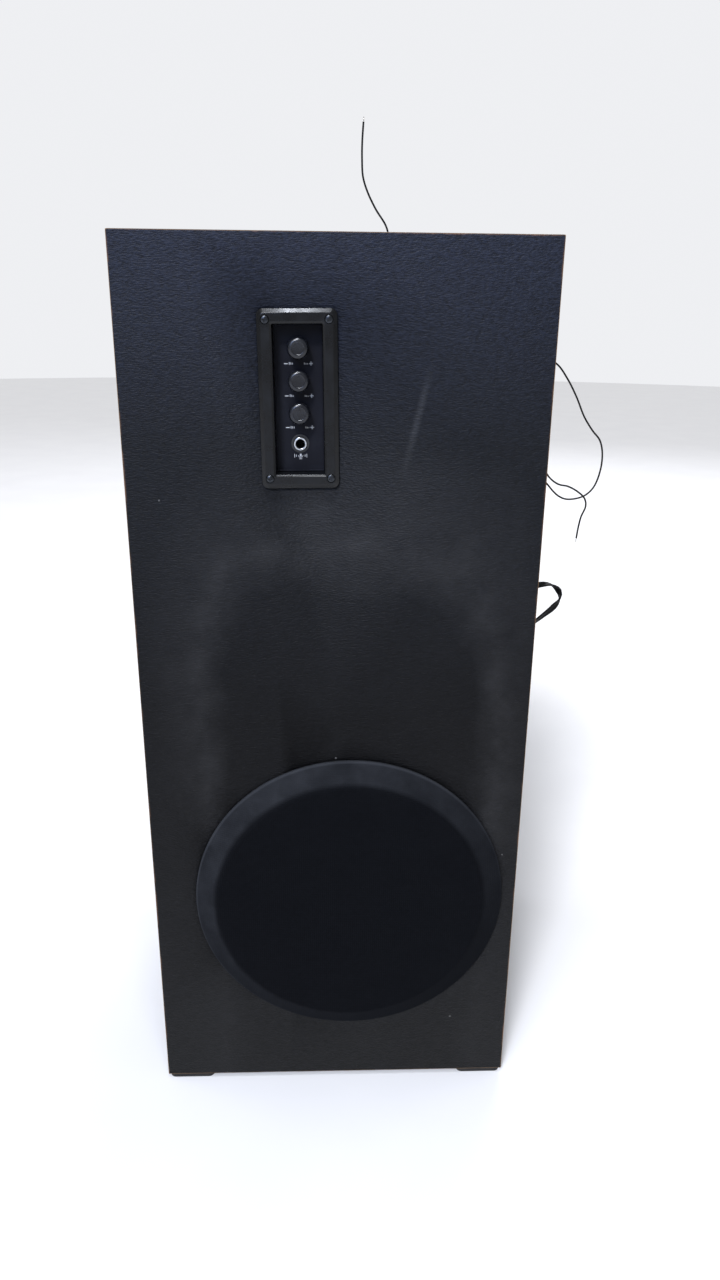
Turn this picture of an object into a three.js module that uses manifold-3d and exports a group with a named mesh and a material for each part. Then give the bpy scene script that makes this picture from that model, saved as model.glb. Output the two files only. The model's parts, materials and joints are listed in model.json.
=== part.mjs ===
// A powered tower speaker: a tall vinyl-covered board cabinet with one woofer low down behind a
// bevelled round cloth grille, and a recessed cup near the top with three rotary controls and a
// microphone socket. Millimetres, +Z up, +X to the right, the front faces -Y. The origin is on the
// floor, under the middle of the cabinet with its grille and rear sockets.
import * as THREE from 'three';
import { mergeVertices } from 'three/addons/utils/BufferGeometryUtils.js';
import Module from 'manifold-3d';

const wasm = await Module();
wasm.setup();

// Driving dimensions

const gap = 0.3; // clearance kept between pieces that touch

const cabinetWidth = 305;
const cabinetHeight = 708;
const cabinetDepth = 280;
const boardThickness = 12;
const backThickness = 9;
const braceHeight = 40;
const braceRise = 400; // above the cabinet's bottom edge

const footHeight = 5;
const footSize = 40;
const footInset = 1;

const wooferX = 11.5; // the woofer sits a little right of centre
const wooferRise = 189; // centre above the cabinet's bottom edge
const cutOutRadius = 93;
const flangeRadius = 104;
const flangeThickness = 1.6;
const basketWall = 1.4;
const basketDepth = 62;
const spiderLedgeRadius = 58;
const spiderLedgeDepth = 48;
const magnetRadius = 50;
const magnetThickness = 16;
const magnetClearance = 8; // round the voice coil
const poleRadius = 12.1;
const polePlateRadius = 42;
const polePlateThickness = 6;
const voiceClearance = 0.6;
const voiceThickness = 1;
const voiceLength = 37;
const coneNeckDepth = 36;
const paperThickness = 0.8;
const surroundRoll = 5.5;
const gasketWidth = 3.3;
const gasketHeight = 2.2;
const dustCapRadius = 22;
const dustCapRise = 8;
const wooferScrewRadius = 1.9;
const wooferScrewLength = 10;

const grilleRadius = 129.5;
const grilleFlatRadius = 110;
const grilleHeight = 14;
const grilleEdge = 3;
const grilleInnerRadius = 106.5;
const clothThickness = 0.8;
const pegRadius = 3;
const pegLength = 8;

const cupX = -26.8;
const cupRise = 599; // centre above the cabinet's bottom edge
const cupTilt = THREE.MathUtils.degToRad(-0.8); // the cup is screwed on slightly askew
const cupWidth = 55.6;
const cupHeight = 122.6;
const cupCorner = 5;
const cupFlange = 4;
const cupBevel = 2.6;
const recessWidth = 34.7;
const recessHeight = 102;
const recessDepth = 15; // from the flange's face to the fascia
const cupWall = 1.6;
const cupLip = 2.5;
const fasciaThickness = 1.5;
const cupScrewX = 43.6;
const cupScrewZ = 107.8;
const cupScrewHead = 2.75;
const cupScrewShank = 1.3;
const cupScrewLength = 9;

const knobPitch = 22;
const knobRise = 35; // the top knob above the cup's centre
const knobRadius = 7.5;
const knobFaceRadius = 5.5;
const knobLength = 12;
const knobLift = 0.8; // between knob and fascia
const shaftRadius = 3;
const potRadius = 8;
const potDepth = 8;
const bushRadius = 4.6;
const jackDrop = 31; // the socket below the cup's centre
const jackBore = 3.2;
const jackRingRadius = 4.8;
const jackRingRise = 2;
const jackBodySize = 14;
const jackBodyDepth = 24;

const plateX = 10;
const plateRise = 395; // centre above the cabinet's bottom edge
const plateWidth = 150;
const plateHeight = 200;
const plateThickness = 1.5;
const plateOverlap = 11; // of the plate over the edge of its cut-out
const socketRadius = 4.15;
const socketPinHole = 1.7;
const socketPitch = 14;
const socketRise = 8; // outside the plate
const rockerWidth = 11;
const rockerHeight = 17;
const rockerBezel = 2;
const rockerDepth = 12;
const rockerTilt = THREE.MathUtils.degToRad(7);
const glandLength = 24;
const glandRadius = 6.5;
const heatsinkWidth = 84;
const heatsinkHeight = 48;
const heatsinkDepth = 26;
const finCount = 8;

const grommetX = 96;
const grommetRise = 594;
const grommetRadius = 7;
const grommetNeck = 4.2;
const clipX = 52;
const clipRise = 688;
const clipWall = 1.2;
const clipLength = 7;
const wireRadius = 0.9;
const wireStandOff = 3; // wire centre from the back panel at the clip

const mainsRadius = 3.5;
const coilInner = 33; // of the wound turns
const coilOuter = 43;
const coilHeight = 7.5;
const coilX = 50;
const coilOut = 112; // coil's centre behind the back panel
const plugHeight = 14;
const plugWidth = 24;
const plugBody = 36;
const plugRelief = 24;
const pinRadius = 2.3;
const pinLength = 19;
const pinPitch = 13;

const roundSteps = 48; // sides of a large visible round
const turnedSteps = 24; // sides of a hidden or small round

// Places that follow from the sizes

const rearProud = gap + plateThickness + socketRise;
const frontFaceY = grilleHeight - (grilleHeight + cabinetDepth + rearProud) / 2;
const backFaceY = frontFaceY + cabinetDepth;
const cabinetTop = footHeight + cabinetHeight;
const cabinetMiddle = footHeight + cabinetHeight / 2;

// Finishes

const finish = (color, roughness, metalness = 0) => ({ color, roughness, metalness });
const vinyl = finish(0x1d1f24, 0.6);
const cloth = finish(0x14161b, 0.9);
const blackPlastic = finish(0x202126, 0.4);
const satinPlastic = finish(0x2a2b30, 0.5);
const rubber = finish(0x151515, 0.85);
const cardboard = finish(0x1c1b1a, 0.9);
const blackSteel = finish(0x26272a, 0.45, 0.8);
const brightSteel = finish(0xb9bcc0, 0.25, 1);
const plainSteel = finish(0x9a9ca0, 0.4, 0.9);
const ferrite = finish(0x2b2a2c, 0.7, 0.2);
const aluminium = finish(0xa8abae, 0.4, 0.9);
const rawBoard = finish(0x8a6a48, 0.85);
const spiderCloth = finish(0xb08a3c, 0.9);
const circuitBoard = finish(0x2e5a34, 0.5);

const speaker = new THREE.Group();

function addMesh(parent, name, geometry, look) {
  const mesh = new THREE.Mesh(geometry, new THREE.MeshStandardMaterial(look));
  mesh.name = name;
  parent.add(mesh);
  return mesh;
}

// Solids

// A block with its centre at x, y, z.
function block(width, depth, height, x = 0, y = 0, z = 0) {
  return new THREE.BoxGeometry(width, depth, height).translate(x, y, z);
}

// A solid of revolution about an axis that points out of the front (-Y). Each profile point is
// [radius, distance forward]. Closed outlines run counter-clockwise; others are turned round.
function turned(profile, steps = turnedSteps) {
  const area = profile.reduce((sum, [r, h], i) => {
    const [nextR, nextH] = profile[(i + 1) % profile.length];
    return sum + r * nextH - nextR * h;
  }, 0);
  const outline = area > 0 ? [...profile] : [...profile].reverse();
  const firstOnAxis = outline.findIndex(([r], i) => {
    const [before] = outline.at(i - 1);
    return r === 0 && before === 0;
  });
  if (firstOnAxis >= 0) outline.push(...outline.splice(0, firstOnAxis));
  else outline.push(outline[0]);
  const points = outline.map(([r, h]) => new THREE.Vector2(r, h));
  return new THREE.LatheGeometry(points, steps).rotateZ(Math.PI);
}

// A rod along the same forward axis, between two distances.
function rod(radius, from, to, x = 0, z = 0, steps = turnedSteps) {
  return turned([[0, from], [radius, from], [radius, to], [0, to]], steps).translate(x, 0, z);
}

// A ring along the forward axis.
function ring(inner, outer, from, to, steps = turnedSteps) {
  return turned([[inner, from], [outer, from], [outer, to], [inner, to]], steps);
}

function toSolid(geometry) {
  const bare = geometry.clone();
  bare.deleteAttribute('normal');
  bare.deleteAttribute('uv');
  const merged = mergeVertices(bare, 1e-3);
  const corners = merged.index.array;
  const kept = [];
  for (let i = 0; i < corners.length; i += 3) {
    const [a, b, c] = corners.slice(i, i + 3);
    if (a !== b && b !== c && c !== a) kept.push(a, b, c);
  }
  return new wasm.Manifold(new wasm.Mesh({
    numProp: 3,
    vertProperties: new Float32Array(merged.attributes.position.array),
    triVerts: new Uint32Array(kept),
  }));
}

function toGeometry(solid) {
  const { vertProperties, triVerts } = solid.getMesh();
  const geometry = new THREE.BufferGeometry();
  geometry.setAttribute('position', new THREE.BufferAttribute(vertProperties, 3));
  geometry.setIndex(new THREE.BufferAttribute(triVerts, 1));
  geometry.computeVertexNormals();
  return geometry;
}

const cut = (body, ...tools) => toGeometry(tools.reduce(
  (rest, tool) => rest.subtract(toSolid(tool)),
  toSolid(body),
));
const join = (body, ...others) => toGeometry(others.reduce(
  (sum, other) => sum.add(toSolid(other)),
  toSolid(body),
));

// Four places round a circle, starting at the given angle.
function quarters(radius, start) {
  return [0, 1, 2, 3].map((i) => {
    const angle = start + (i * Math.PI) / 2;
    return [radius * Math.cos(angle), radius * Math.sin(angle)];
  });
}

const corners = (x, z) => [[-x, z], [x, z], [x, -z], [-x, -z]];

// A rectangle with rounded corners.
function roundedOutline(width, height, radius) {
  const x = width / 2 - radius;
  const z = height / 2 - radius;
  const shape = new THREE.Shape();
  shape.absarc(x, z, radius, 0, Math.PI / 2);
  shape.absarc(-x, z, radius, Math.PI / 2, Math.PI);
  shape.absarc(-x, -z, radius, Math.PI, Math.PI * 1.5);
  shape.absarc(x, -z, radius, Math.PI * 1.5, Math.PI * 2);
  shape.closePath();
  return shape;
}

// Groups whose own y = 0 is the face they are fixed to

const woofer = new THREE.Group();
woofer.position.set(wooferX, frontFaceY, footHeight + wooferRise);
const cup = new THREE.Group();
cup.position.set(cupX, frontFaceY, footHeight + cupRise);
cup.rotation.y = cupTilt;
const rear = new THREE.Group();
rear.position.set(plateX, backFaceY, footHeight + plateRise);
speaker.add(woofer, cup, rear);
speaker.updateMatrixWorld(true);

const inGroup = (group, geometry) => geometry.applyMatrix4(group.matrixWorld);

// Cabinet: six boards round an open box, a cross brace and four pads

const boardFrontY = frontFaceY + boardThickness + gap;
const boardBackY = backFaceY - backThickness - gap;
const boardDepth = boardBackY - boardFrontY;
const boardMiddleY = (boardFrontY + boardBackY) / 2;
const innerWidth = cabinetWidth - 2 * boardThickness;
const screwCircle = (flangeRadius + cutOutRadius) / 2 + 1.5;
const pegCircle = (grilleInnerRadius + grilleRadius) / 2;
const cupOpeningX = recessWidth + 2 * (cupWall + gap);
const cupOpeningZ = recessHeight + 2 * (cupWall + gap);

function addCabinet() {
  for (const [side, sign] of [['left', -1], ['right', 1]]) {
    const x = sign * (cabinetWidth - boardThickness) / 2;
    const board = block(boardThickness, boardDepth, cabinetHeight, x, boardMiddleY, cabinetMiddle);
    addMesh(speaker, `${side}_panel`, board, vinyl);
  }
  const levels = [['bottom', footHeight], ['top', cabinetTop - boardThickness]];
  for (const [level, z] of levels) {
    const board = block(innerWidth - 2 * gap, boardDepth, boardThickness);
    addMesh(speaker, `${level}_panel`, board.translate(0, boardMiddleY, z + boardThickness / 2), vinyl);
  }
  const brace = block(innerWidth - 2 * gap, boardThickness, braceHeight);
  brace.translate(0, boardMiddleY, footHeight + braceRise);
  addMesh(speaker, 'cross_brace', brace, rawBoard);

  const baffle = block(cabinetWidth, boardThickness, cabinetHeight);
  baffle.translate(0, frontFaceY + boardThickness / 2, cabinetMiddle);
  const through = boardThickness * 2;
  const drill = (group, radius, x, z, steps = 12) => {
    return inGroup(group, rod(radius, -through, through, x, z, steps));
  };
  addMesh(speaker, 'front_baffle', cut(
    baffle,
    drill(woofer, cutOutRadius, 0, 0, roundSteps),
    ...quarters(screwCircle, Math.PI / 4).map(([x, z]) => drill(woofer, wooferScrewRadius + gap, x, z)),
    ...quarters(pegCircle, 0).map(([x, z]) => drill(woofer, pegRadius + gap, x, z)),
    inGroup(cup, block(cupOpeningX, 2 * through, cupOpeningZ)),
    ...corners(cupScrewX / 2, cupScrewZ / 2).map(([x, z]) => drill(cup, cupScrewShank + gap, x, z)),
  ), vinyl);

  const back = block(cabinetWidth, backThickness, cabinetHeight);
  back.translate(0, backFaceY - backThickness / 2, cabinetMiddle);
  const grommetHole = rod(grommetNeck + gap, -through, through, grommetX, footHeight + grommetRise, 16);
  addMesh(speaker, 'back_panel', cut(
    back,
    inGroup(rear, block(plateWidth - 2 * plateOverlap, 2 * through, plateHeight - 2 * plateOverlap)),
    grommetHole.translate(0, backFaceY, 0),
  ), vinyl);

  const footX = cabinetWidth / 2 - footInset - footSize / 2;
  const footFrontY = frontFaceY + footInset + footSize / 2;
  const footBackY = backFaceY - footInset - footSize / 2;
  for (const [side, x] of [['left', -footX], ['right', footX]]) {
    for (const [end, y] of [['front', footFrontY], ['back', footBackY]]) {
      const height = footHeight - gap;
      addMesh(speaker, `foot_${end}_${side}`, block(footSize, footSize, height, x, y, height / 2), rubber);
    }
  }
}

// Grille: a bevelled ring on four pegs, with cloth stretched over it

// The outline of the covered grille, moved inwards by an even thickness.
function grilleOutline(inset) {
  const slope = Math.atan2(grilleHeight - grilleEdge, grilleRadius - grilleFlatRadius);
  return [
    [grilleRadius - inset, grilleEdge - inset * Math.tan(Math.PI / 4 - slope / 2)],
    [grilleFlatRadius - inset * Math.tan(slope / 2), grilleHeight - inset],
  ];
}

function addGrille() {
  const [outerEdge, flatEdge] = grilleOutline(0);
  const [innerEdge, innerFlatEdge] = grilleOutline(clothThickness);
  const skin = turned([
    [0, innerFlatEdge[1]], innerFlatEdge, innerEdge, [innerEdge[0], gap],
    [outerEdge[0], gap], outerEdge, flatEdge, [0, flatEdge[1]],
  ], roundSteps);
  addMesh(woofer, 'grille_cloth', skin, cloth);

  const [frameEdge, frameFlatEdge] = grilleOutline(clothThickness + gap);
  const frame = turned([
    [grilleInnerRadius, gap], [frameEdge[0], gap], frameEdge, frameFlatEdge,
    [grilleInnerRadius, frameFlatEdge[1]],
  ], roundSteps);
  const pegs = quarters(pegCircle, 0).map(([x, z]) => rod(pegRadius, -pegLength, grilleEdge, x, z, 12));
  addMesh(woofer, 'grille_frame', join(frame, ...pegs), blackPlastic);
}

// Woofer: steel basket, rolled surround, paper cone and ferrite motor

// The profile of a thin wall that follows a path of [radius, forward] points.
function wallProfile(path, thickness) {
  const offset = (sign) => path.map(([r, h], i) => {
    const [r0, h0] = path[Math.max(i - 1, 0)];
    const [r1, h1] = path[Math.min(i + 1, path.length - 1)];
    const length = Math.hypot(r1 - r0, h1 - h0);
    const shift = (sign * thickness) / 2 / length;
    return [r - (h1 - h0) * shift, h + (r1 - r0) * shift];
  });
  return [...offset(-1), ...offset(1).reverse()];
}

const flangeFront = gap + flangeThickness;
const coneRimRadius = cutOutRadius - 2 * surroundRoll - 2;
const coneRimFront = flangeFront;
const rimToRoll = 2 * gap;
const voiceInner = poleRadius + voiceClearance;
const voiceOuter = voiceInner + voiceThickness;
const coneNeckRadius = voiceOuter + gap;
const polePlateFront = -(basketDepth + basketWall / 2 + gap);

function addBasket() {
  const wall = turned([
    [flangeRadius, gap], [flangeRadius, flangeFront], [cutOutRadius - 3.5, flangeFront],
    [spiderLedgeRadius - 1, basketWall - spiderLedgeDepth],
    [spiderLedgeRadius - 12, basketWall - spiderLedgeDepth],
    [polePlateRadius, basketWall / 2 - basketDepth],
    [coneNeckRadius + 1, basketWall / 2 - basketDepth],
    [coneNeckRadius + 1, -basketWall / 2 - basketDepth],
    [polePlateRadius + 1, -basketWall / 2 - basketDepth],
    [spiderLedgeRadius - 11, -spiderLedgeDepth],
    [spiderLedgeRadius, -spiderLedgeDepth],
    [cutOutRadius - 2, 0], [cutOutRadius - 2, gap],
  ], 36);
  const windowCount = 6;
  const windowWidth = 34;
  const windows = [...Array(windowCount).keys()].map((i) => {
    const opening = block(cutOutRadius - spiderLedgeRadius - 10, 34, windowWidth);
    opening.translate((cutOutRadius + spiderLedgeRadius) / 2, spiderLedgeDepth / 2 + 2, 0);
    return opening.rotateY(((i + 0.5) * 2 * Math.PI) / windowCount);
  });
  const screwHoles = quarters(screwCircle, Math.PI / 4).map(([x, z]) => {
    return rod(wooferScrewRadius + gap, -1, flangeFront + 1, x, z, 12);
  });
  addMesh(woofer, 'woofer_basket', cut(wall, ...windows, ...screwHoles), blackSteel);
}

function addWooferScrews() {
  const headRadius = 3.2;
  const headFront = flangeFront + gap + 2.2;
  quarters(screwCircle, Math.PI / 4).forEach(([x, z], i) => {
    const screw = turned([
      [0, -wooferScrewLength], [wooferScrewRadius * 0.4, -wooferScrewLength],
      [wooferScrewRadius, 3 - wooferScrewLength], [wooferScrewRadius, flangeFront + gap],
      [headRadius, flangeFront + gap], [headRadius, headFront - 1], [headRadius - 1, headFront],
      [0, headFront],
    ], 10);
    addMesh(woofer, `woofer_screw_${i + 1}`, screw.translate(x, 0, z), plainSteel);
  });
}

// The half roll joins the cone's rim to a lip glued on the basket's flange.
function surroundProfile() {
  const lipBack = flangeFront + gap;
  const lipFront = lipBack + paperThickness;
  const centre = coneRimRadius + rimToRoll + surroundRoll;
  const arc = (radius, from, to) => [0, 1, 2, 3, 4].map((i) => {
    const angle = from + ((to - from) * i) / 4;
    return [centre + radius * Math.cos(angle), lipBack + radius * Math.sin(angle)];
  });
  return [
    [coneRimRadius - 4, lipBack], ...arc(surroundRoll - paperThickness, Math.PI, 0),
    [cutOutRadius + 2, lipBack], [cutOutRadius + 2, lipFront],
    ...arc(surroundRoll, 0.15, Math.PI - 0.15), [coneRimRadius - 4, lipFront],
  ];
}

function addMovingCone() {
  const neckBack = -coneNeckDepth;
  const slantRadius = coneRimRadius - 4;
  const coneFront = (radius) => neckBack
    + ((radius - coneNeckRadius) / (slantRadius - coneNeckRadius)) * (coneNeckDepth + coneRimFront);
  const cone = turned([
    [coneNeckRadius, neckBack], [coneNeckRadius, neckBack + 1.2], [slantRadius, coneRimFront],
    [coneRimRadius, coneRimFront], [coneRimRadius, coneRimFront - paperThickness],
    [slantRadius + 1, coneRimFront - paperThickness], [coneNeckRadius + 1, neckBack],
  ], 36);
  addMesh(woofer, 'woofer_cone', cone, cardboard);

  const capBase = coneFront(dustCapRadius) + 2;
  const dome = (radius, rise) => [0, 1, 2, 3, 4, 5].map((i) => {
    const share = i / 5;
    return [radius * Math.cos((share * Math.PI) / 2), capBase + rise * Math.sin((share * Math.PI) / 2)];
  }).map(([r, h], i) => [i === 5 ? 0 : r, h]);
  const inner = dome(dustCapRadius - paperThickness, dustCapRise - paperThickness);
  addMesh(woofer, 'dust_cap', turned([...dome(dustCapRadius, dustCapRise), ...inner.reverse()]), cardboard);

  const voiceFront = neckBack + 3;
  const voiceBack = voiceFront - voiceLength;
  addMesh(woofer, 'voice_coil', ring(voiceInner, voiceOuter, voiceBack, voiceFront), spiderCloth);
}

function addSuspension() {
  addMesh(woofer, 'woofer_surround', turned(surroundProfile()), rubber);
  const gasketBack = flangeFront + paperThickness + 2 * gap;
  const gasketInner = coneRimRadius + rimToRoll + 2 * surroundRoll + 2 * gap;
  const gasket = ring(gasketInner, gasketInner + gasketWidth, gasketBack, gasketBack + gasketHeight);
  addMesh(woofer, 'woofer_gasket', gasket, rubber);

  const first = voiceOuter + gap;
  const last = spiderLedgeRadius - 4;
  const ledgeFront = basketWall - spiderLedgeDepth + gap;
  const waves = 5;
  const waveHeight = 1.5;
  const path = [...Array(waves + 1).keys()].map((i) => {
    const r = first + 0.5 + ((last - 9.5 - first) * i) / waves;
    return [r, ledgeFront + 2 + (i % 2 ? waveHeight : 0)];
  });
  path.push([last - 6, ledgeFront + paperThickness / 2], [last, ledgeFront + paperThickness / 2]);
  addMesh(woofer, 'spider', turned(wallProfile(path, paperThickness * 0.9)), spiderCloth);
}

function addMotor() {
  const plateBack = polePlateFront - polePlateThickness;
  const plate = ring(voiceOuter + voiceClearance, polePlateRadius, plateBack, polePlateFront);
  addMesh(woofer, 'front_pole_plate', plate, plainSteel);
  const magnetFront = plateBack - gap;
  const magnetBack = magnetFront - magnetThickness;
  const magnet = ring(voiceOuter + magnetClearance, magnetRadius, magnetBack, magnetFront);
  addMesh(woofer, 'magnet_ring', magnet, ferrite);
  const yokeFront = magnetBack - gap;
  const yokeBack = yokeFront - polePlateThickness;
  addMesh(woofer, 'pole_yoke', turned([
    [0, yokeBack], [polePlateRadius, yokeBack], [polePlateRadius, yokeFront],
    [poleRadius, yokeFront], [poleRadius, polePlateFront], [0, polePlateFront],
  ]), plainSteel);
}

// Control cup: moulded flange and well, with its fascia, controls and socket

const flangeFace = gap + cupFlange;
const fasciaFace = flangeFace - recessDepth;
const fasciaBack = fasciaFace - fasciaThickness;
const cupBack = fasciaBack - gap - cupWall;
const knobHeights = ['volume', 'bass', 'treble'].map((name, i) => [name, knobRise - i * knobPitch]);

function addCup() {
  const flangeShape = roundedOutline(cupWidth - 2 * cupBevel, cupHeight - 2 * cupBevel, cupCorner - cupBevel);
  const flange = new THREE.ExtrudeGeometry(flangeShape, {
    depth: cupFlange - cupBevel,
    bevelThickness: cupBevel,
    bevelSize: cupBevel,
    bevelSegments: 1,
    curveSegments: 4,
  }).rotateX(Math.PI / 2);
  // The bevel at the back is cut away, which leaves the flange's flat rear face.
  flange.translate(0, -gap, 0);
  const behind = block(cupWidth * 2, cupBevel * 2, cupHeight * 2, 0, cupBevel - gap, 0);
  const wellWidth = recessWidth + 2 * cupWall;
  const wellHeight = recessHeight + 2 * cupWall;
  const wellDepth = flangeFace / 2 - cupBack;
  const well = block(wellWidth, wellDepth, wellHeight, 0, -(flangeFace / 2 + cupBack) / 2, 0);
  const recessBack = fasciaBack - gap;
  const recess = block(recessWidth, flangeFace + 1 - recessBack, recessHeight);
  recess.translate(0, -(flangeFace + 1 + recessBack) / 2, 0);
  const open = block(recessWidth - 2 * cupLip, 4 * recessDepth, recessHeight - 2 * cupLip);
  const screwHoles = corners(cupScrewX / 2, cupScrewZ / 2).map(([x, z]) => turned([
    [0, -1], [cupScrewShank + gap, -1], [cupScrewShank + gap, flangeFace - 1.8],
    [cupScrewHead + gap, flangeFace - 0.3], [cupScrewHead + gap, flangeFace + 1], [0, flangeFace + 1],
  ], 16).translate(x, 0, z));
  const shell = toGeometry(toSolid(flange).subtract(toSolid(behind)).add(toSolid(well)));
  addMesh(cup, 'control_cup', cut(shell, recess, open, ...screwHoles), blackPlastic);

  corners(cupScrewX / 2, cupScrewZ / 2).forEach(([x, z], i) => {
    const screw = turned([
      [0, -cupScrewLength], [cupScrewShank * 0.4, -cupScrewLength],
      [cupScrewShank, 2 - cupScrewLength], [cupScrewShank, flangeFace - 1.5],
      [cupScrewHead, flangeFace - 0.2], [cupScrewHead - 0.6, flangeFace + 0.4], [0, flangeFace + 0.6],
    ], 12).translate(x, 0, z);
    addMesh(cup, `cup_screw_${i + 1}`, screw, brightSteel);
  });
}

function addControls() {
  const fascia = block(recessWidth - 2 * gap, fasciaThickness, recessHeight - 2 * gap);
  fascia.translate(0, -(fasciaFace + fasciaBack) / 2, 0);
  const bushHoles = knobHeights.map(([, z]) => rod(bushRadius + gap, cupBack, flangeFace, 0, z, 20));
  const jackHole = rod(jackRingRadius + gap, cupBack, flangeFace, 0, -jackDrop, 24);
  addMesh(cup, 'control_fascia', cut(fascia, ...bushHoles, jackHole), satinPlastic);

  const knobBack = fasciaFace + knobLift;
  const knobFront = knobBack + knobLength;
  const shaftFront = knobFront - 3;
  const potFront = cupBack - gap;
  const bushFront = fasciaFace + knobLift - gap;
  for (const [name, z] of knobHeights) {
    const knob = turned([
      [0, knobFront], [knobFaceRadius - 0.4, knobFront], [knobFaceRadius + 0.3, knobFront - 0.4],
      [knobRadius - 0.7, knobFront - 3], [knobRadius, knobFront - 4.6], [knobRadius, knobBack],
      [shaftRadius + gap, knobBack], [shaftRadius + gap, shaftFront + gap], [0, shaftFront + gap],
    ], 24).translate(0, 0, z);
    addMesh(cup, `${name}_knob`, knob, blackPlastic);
    const shaftBack = potFront - potDepth / 2;
    addMesh(cup, `${name}_shaft`, rod(shaftRadius, shaftBack, shaftFront, 0, z, 20), plainSteel);
    const pot = turned([
      [0, potFront - potDepth], [potRadius, potFront - potDepth], [potRadius, potFront],
      [bushRadius, potFront], [bushRadius, bushFront], [shaftRadius + gap, bushFront],
      [shaftRadius + gap, shaftBack - gap], [0, shaftBack - gap],
    ], 20).translate(0, 0, z);
    addMesh(cup, `${name}_pot`, pot, plainSteel);
  }

  const jackFront = fasciaFace + jackRingRise;
  const jackRing = turned([
    [jackBore, cupBack], [jackRingRadius, cupBack], [jackRingRadius, jackFront - 0.5],
    [jackRingRadius - 0.5, jackFront], [jackBore + 0.4, jackFront], [jackBore, jackFront - 0.4],
  ], 24).translate(0, 0, -jackDrop);
  addMesh(cup, 'mic_jack_ring', jackRing, brightSteel);
  const bodyFront = cupBack - gap;
  const bodyCentre = -(bodyFront - jackBodyDepth / 2);
  const jackBody = block(jackBodySize, jackBodyDepth, jackBodySize, 0, bodyCentre, -jackDrop);
  const bore = rod(jackBore, bodyFront + 1 - jackBodyDepth, bodyFront + 1, 0, -jackDrop, 32);
  addMesh(cup, 'mic_jack_body', cut(jackBody, bore), blackPlastic);

  const boardFront = potFront - potDepth - gap;
  const boardBottom = bodyLow();
  const boardTop = knobRise + potRadius + 3;
  const board = block(recessWidth - 2, 1.6, boardTop - boardBottom);
  board.translate(0, 0.8 - boardFront, (boardTop + boardBottom) / 2);
  addMesh(cup, 'tone_board', board, circuitBoard);
}

// The tone board stops above the microphone socket's body.
function bodyLow() {
  return -jackDrop + jackBodySize / 2 + 2 * gap;
}

// Rear plate: amplifier, its heatsink, sockets, switch and the mains entry

const plateFace = gap + plateThickness; // outside face, measured out of the back
const socketX = -34;
const socketZ = 62;
const rockerX = 48;
const rockerZ = 62;
const glandX = 52;
const glandZ = -26;

// Pieces of the rear are turned about an axis that points out of the back (+Y).
const toRear = (geometry, x = 0, z = 0) => geometry.rotateZ(Math.PI).translate(x, 0, z);

function addRearPlate() {
  const plate = block(plateWidth, plateThickness, plateHeight, 0, gap + plateThickness / 2, 0);
  const hole = (radius, x, z) => toRear(rod(radius, -1, plateFace + 1, 0, 0, 20), x, z);
  const socketXs = [socketX - socketPitch / 2, socketX + socketPitch / 2];
  const rockerBody = { width: rockerWidth + 2, height: rockerHeight + 2 };
  addMesh(rear, 'rear_plate', cut(
    plate,
    ...socketXs.map((x) => hole(socketRadius + gap, x, socketZ)),
    block(rockerBody.width + 2 * gap, 20, rockerBody.height + 2 * gap, rockerX, 0, rockerZ),
    hole(glandRadius - 1 + gap, glandX, glandZ),
  ), blackSteel);

  const socketBlock = block(socketPitch * 2 + 2, 10, socketPitch, socketX, -5, socketZ);
  const barrelEnd = plateFace + socketRise;
  const barrels = socketXs.map((x) => toRear(rod(socketRadius, -4, barrelEnd, 0, 0, 20), x, socketZ));
  const pinHoles = socketXs.map((x) => toRear(rod(socketPinHole, 0, barrelEnd + 1, 0, 0, 12), x, socketZ));
  addMesh(rear, 'line_input_sockets', cut(join(socketBlock, ...barrels), ...pinHoles), blackPlastic);

  const bezelY = plateFace + gap + rockerBezel / 2;
  const bezel = block(rockerBody.width + 3, rockerBezel, rockerBody.height + 3, rockerX, bezelY, rockerZ);
  const bodyBack = plateFace + gap + rockerBezel - rockerDepth;
  const bodyDepth = rockerDepth - rockerBezel / 2;
  const bodyY = bodyBack + bodyDepth / 2;
  const body = block(rockerBody.width, bodyDepth, rockerBody.height, rockerX, bodyY, rockerZ);
  const pocketY = bodyBack + 2 + rockerDepth;
  const pocket = block(rockerWidth, rockerDepth * 2, rockerHeight, rockerX, pocketY, rockerZ);
  addMesh(rear, 'rocker_frame', cut(join(bezel, body), pocket), blackPlastic);

  const pivotY = bodyBack + rockerDepth - 3;
  const half = rockerHeight / 2 - 1.2;
  const face = new THREE.Shape([
    [-half, 3.6], [0, 2.4], [half, 3.6], [half, -1.2], [2, -4], [-2, -4], [-half, -1.2],
  ].map(([along, out]) => new THREE.Vector2(along, out)));
  const paddle = new THREE.ExtrudeGeometry(face, { depth: rockerWidth - 2 * gap, bevelEnabled: false });
  // The outline's first axis becomes Z, its second +Y, and its thickness X.
  paddle.applyMatrix4(new THREE.Matrix4().makeBasis(
    new THREE.Vector3(0, 0, 1), new THREE.Vector3(0, 1, 0), new THREE.Vector3(-1, 0, 0),
  ));
  paddle.translate(rockerWidth / 2 - gap, 0, 0);
  const rocker = addMesh(rear, 'power_rocker', paddle, satinPlastic);
  rocker.position.set(rockerX, pivotY, rockerZ);
  rocker.rotation.x = rockerTilt;

  const gland = turned([
    [0, -6], [glandRadius - 1, -6], [glandRadius - 1, plateFace + gap],
    [glandRadius + 1.5, plateFace + gap], [glandRadius + 1.5, plateFace + 2.3],
    [glandRadius, plateFace + 2.8], [glandRadius - 2, plateFace + glandLength],
    [0, plateFace + glandLength],
  ], 16);
  addMesh(rear, 'strain_relief', toRear(gland, glandX, glandZ), rubber);
}

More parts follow.
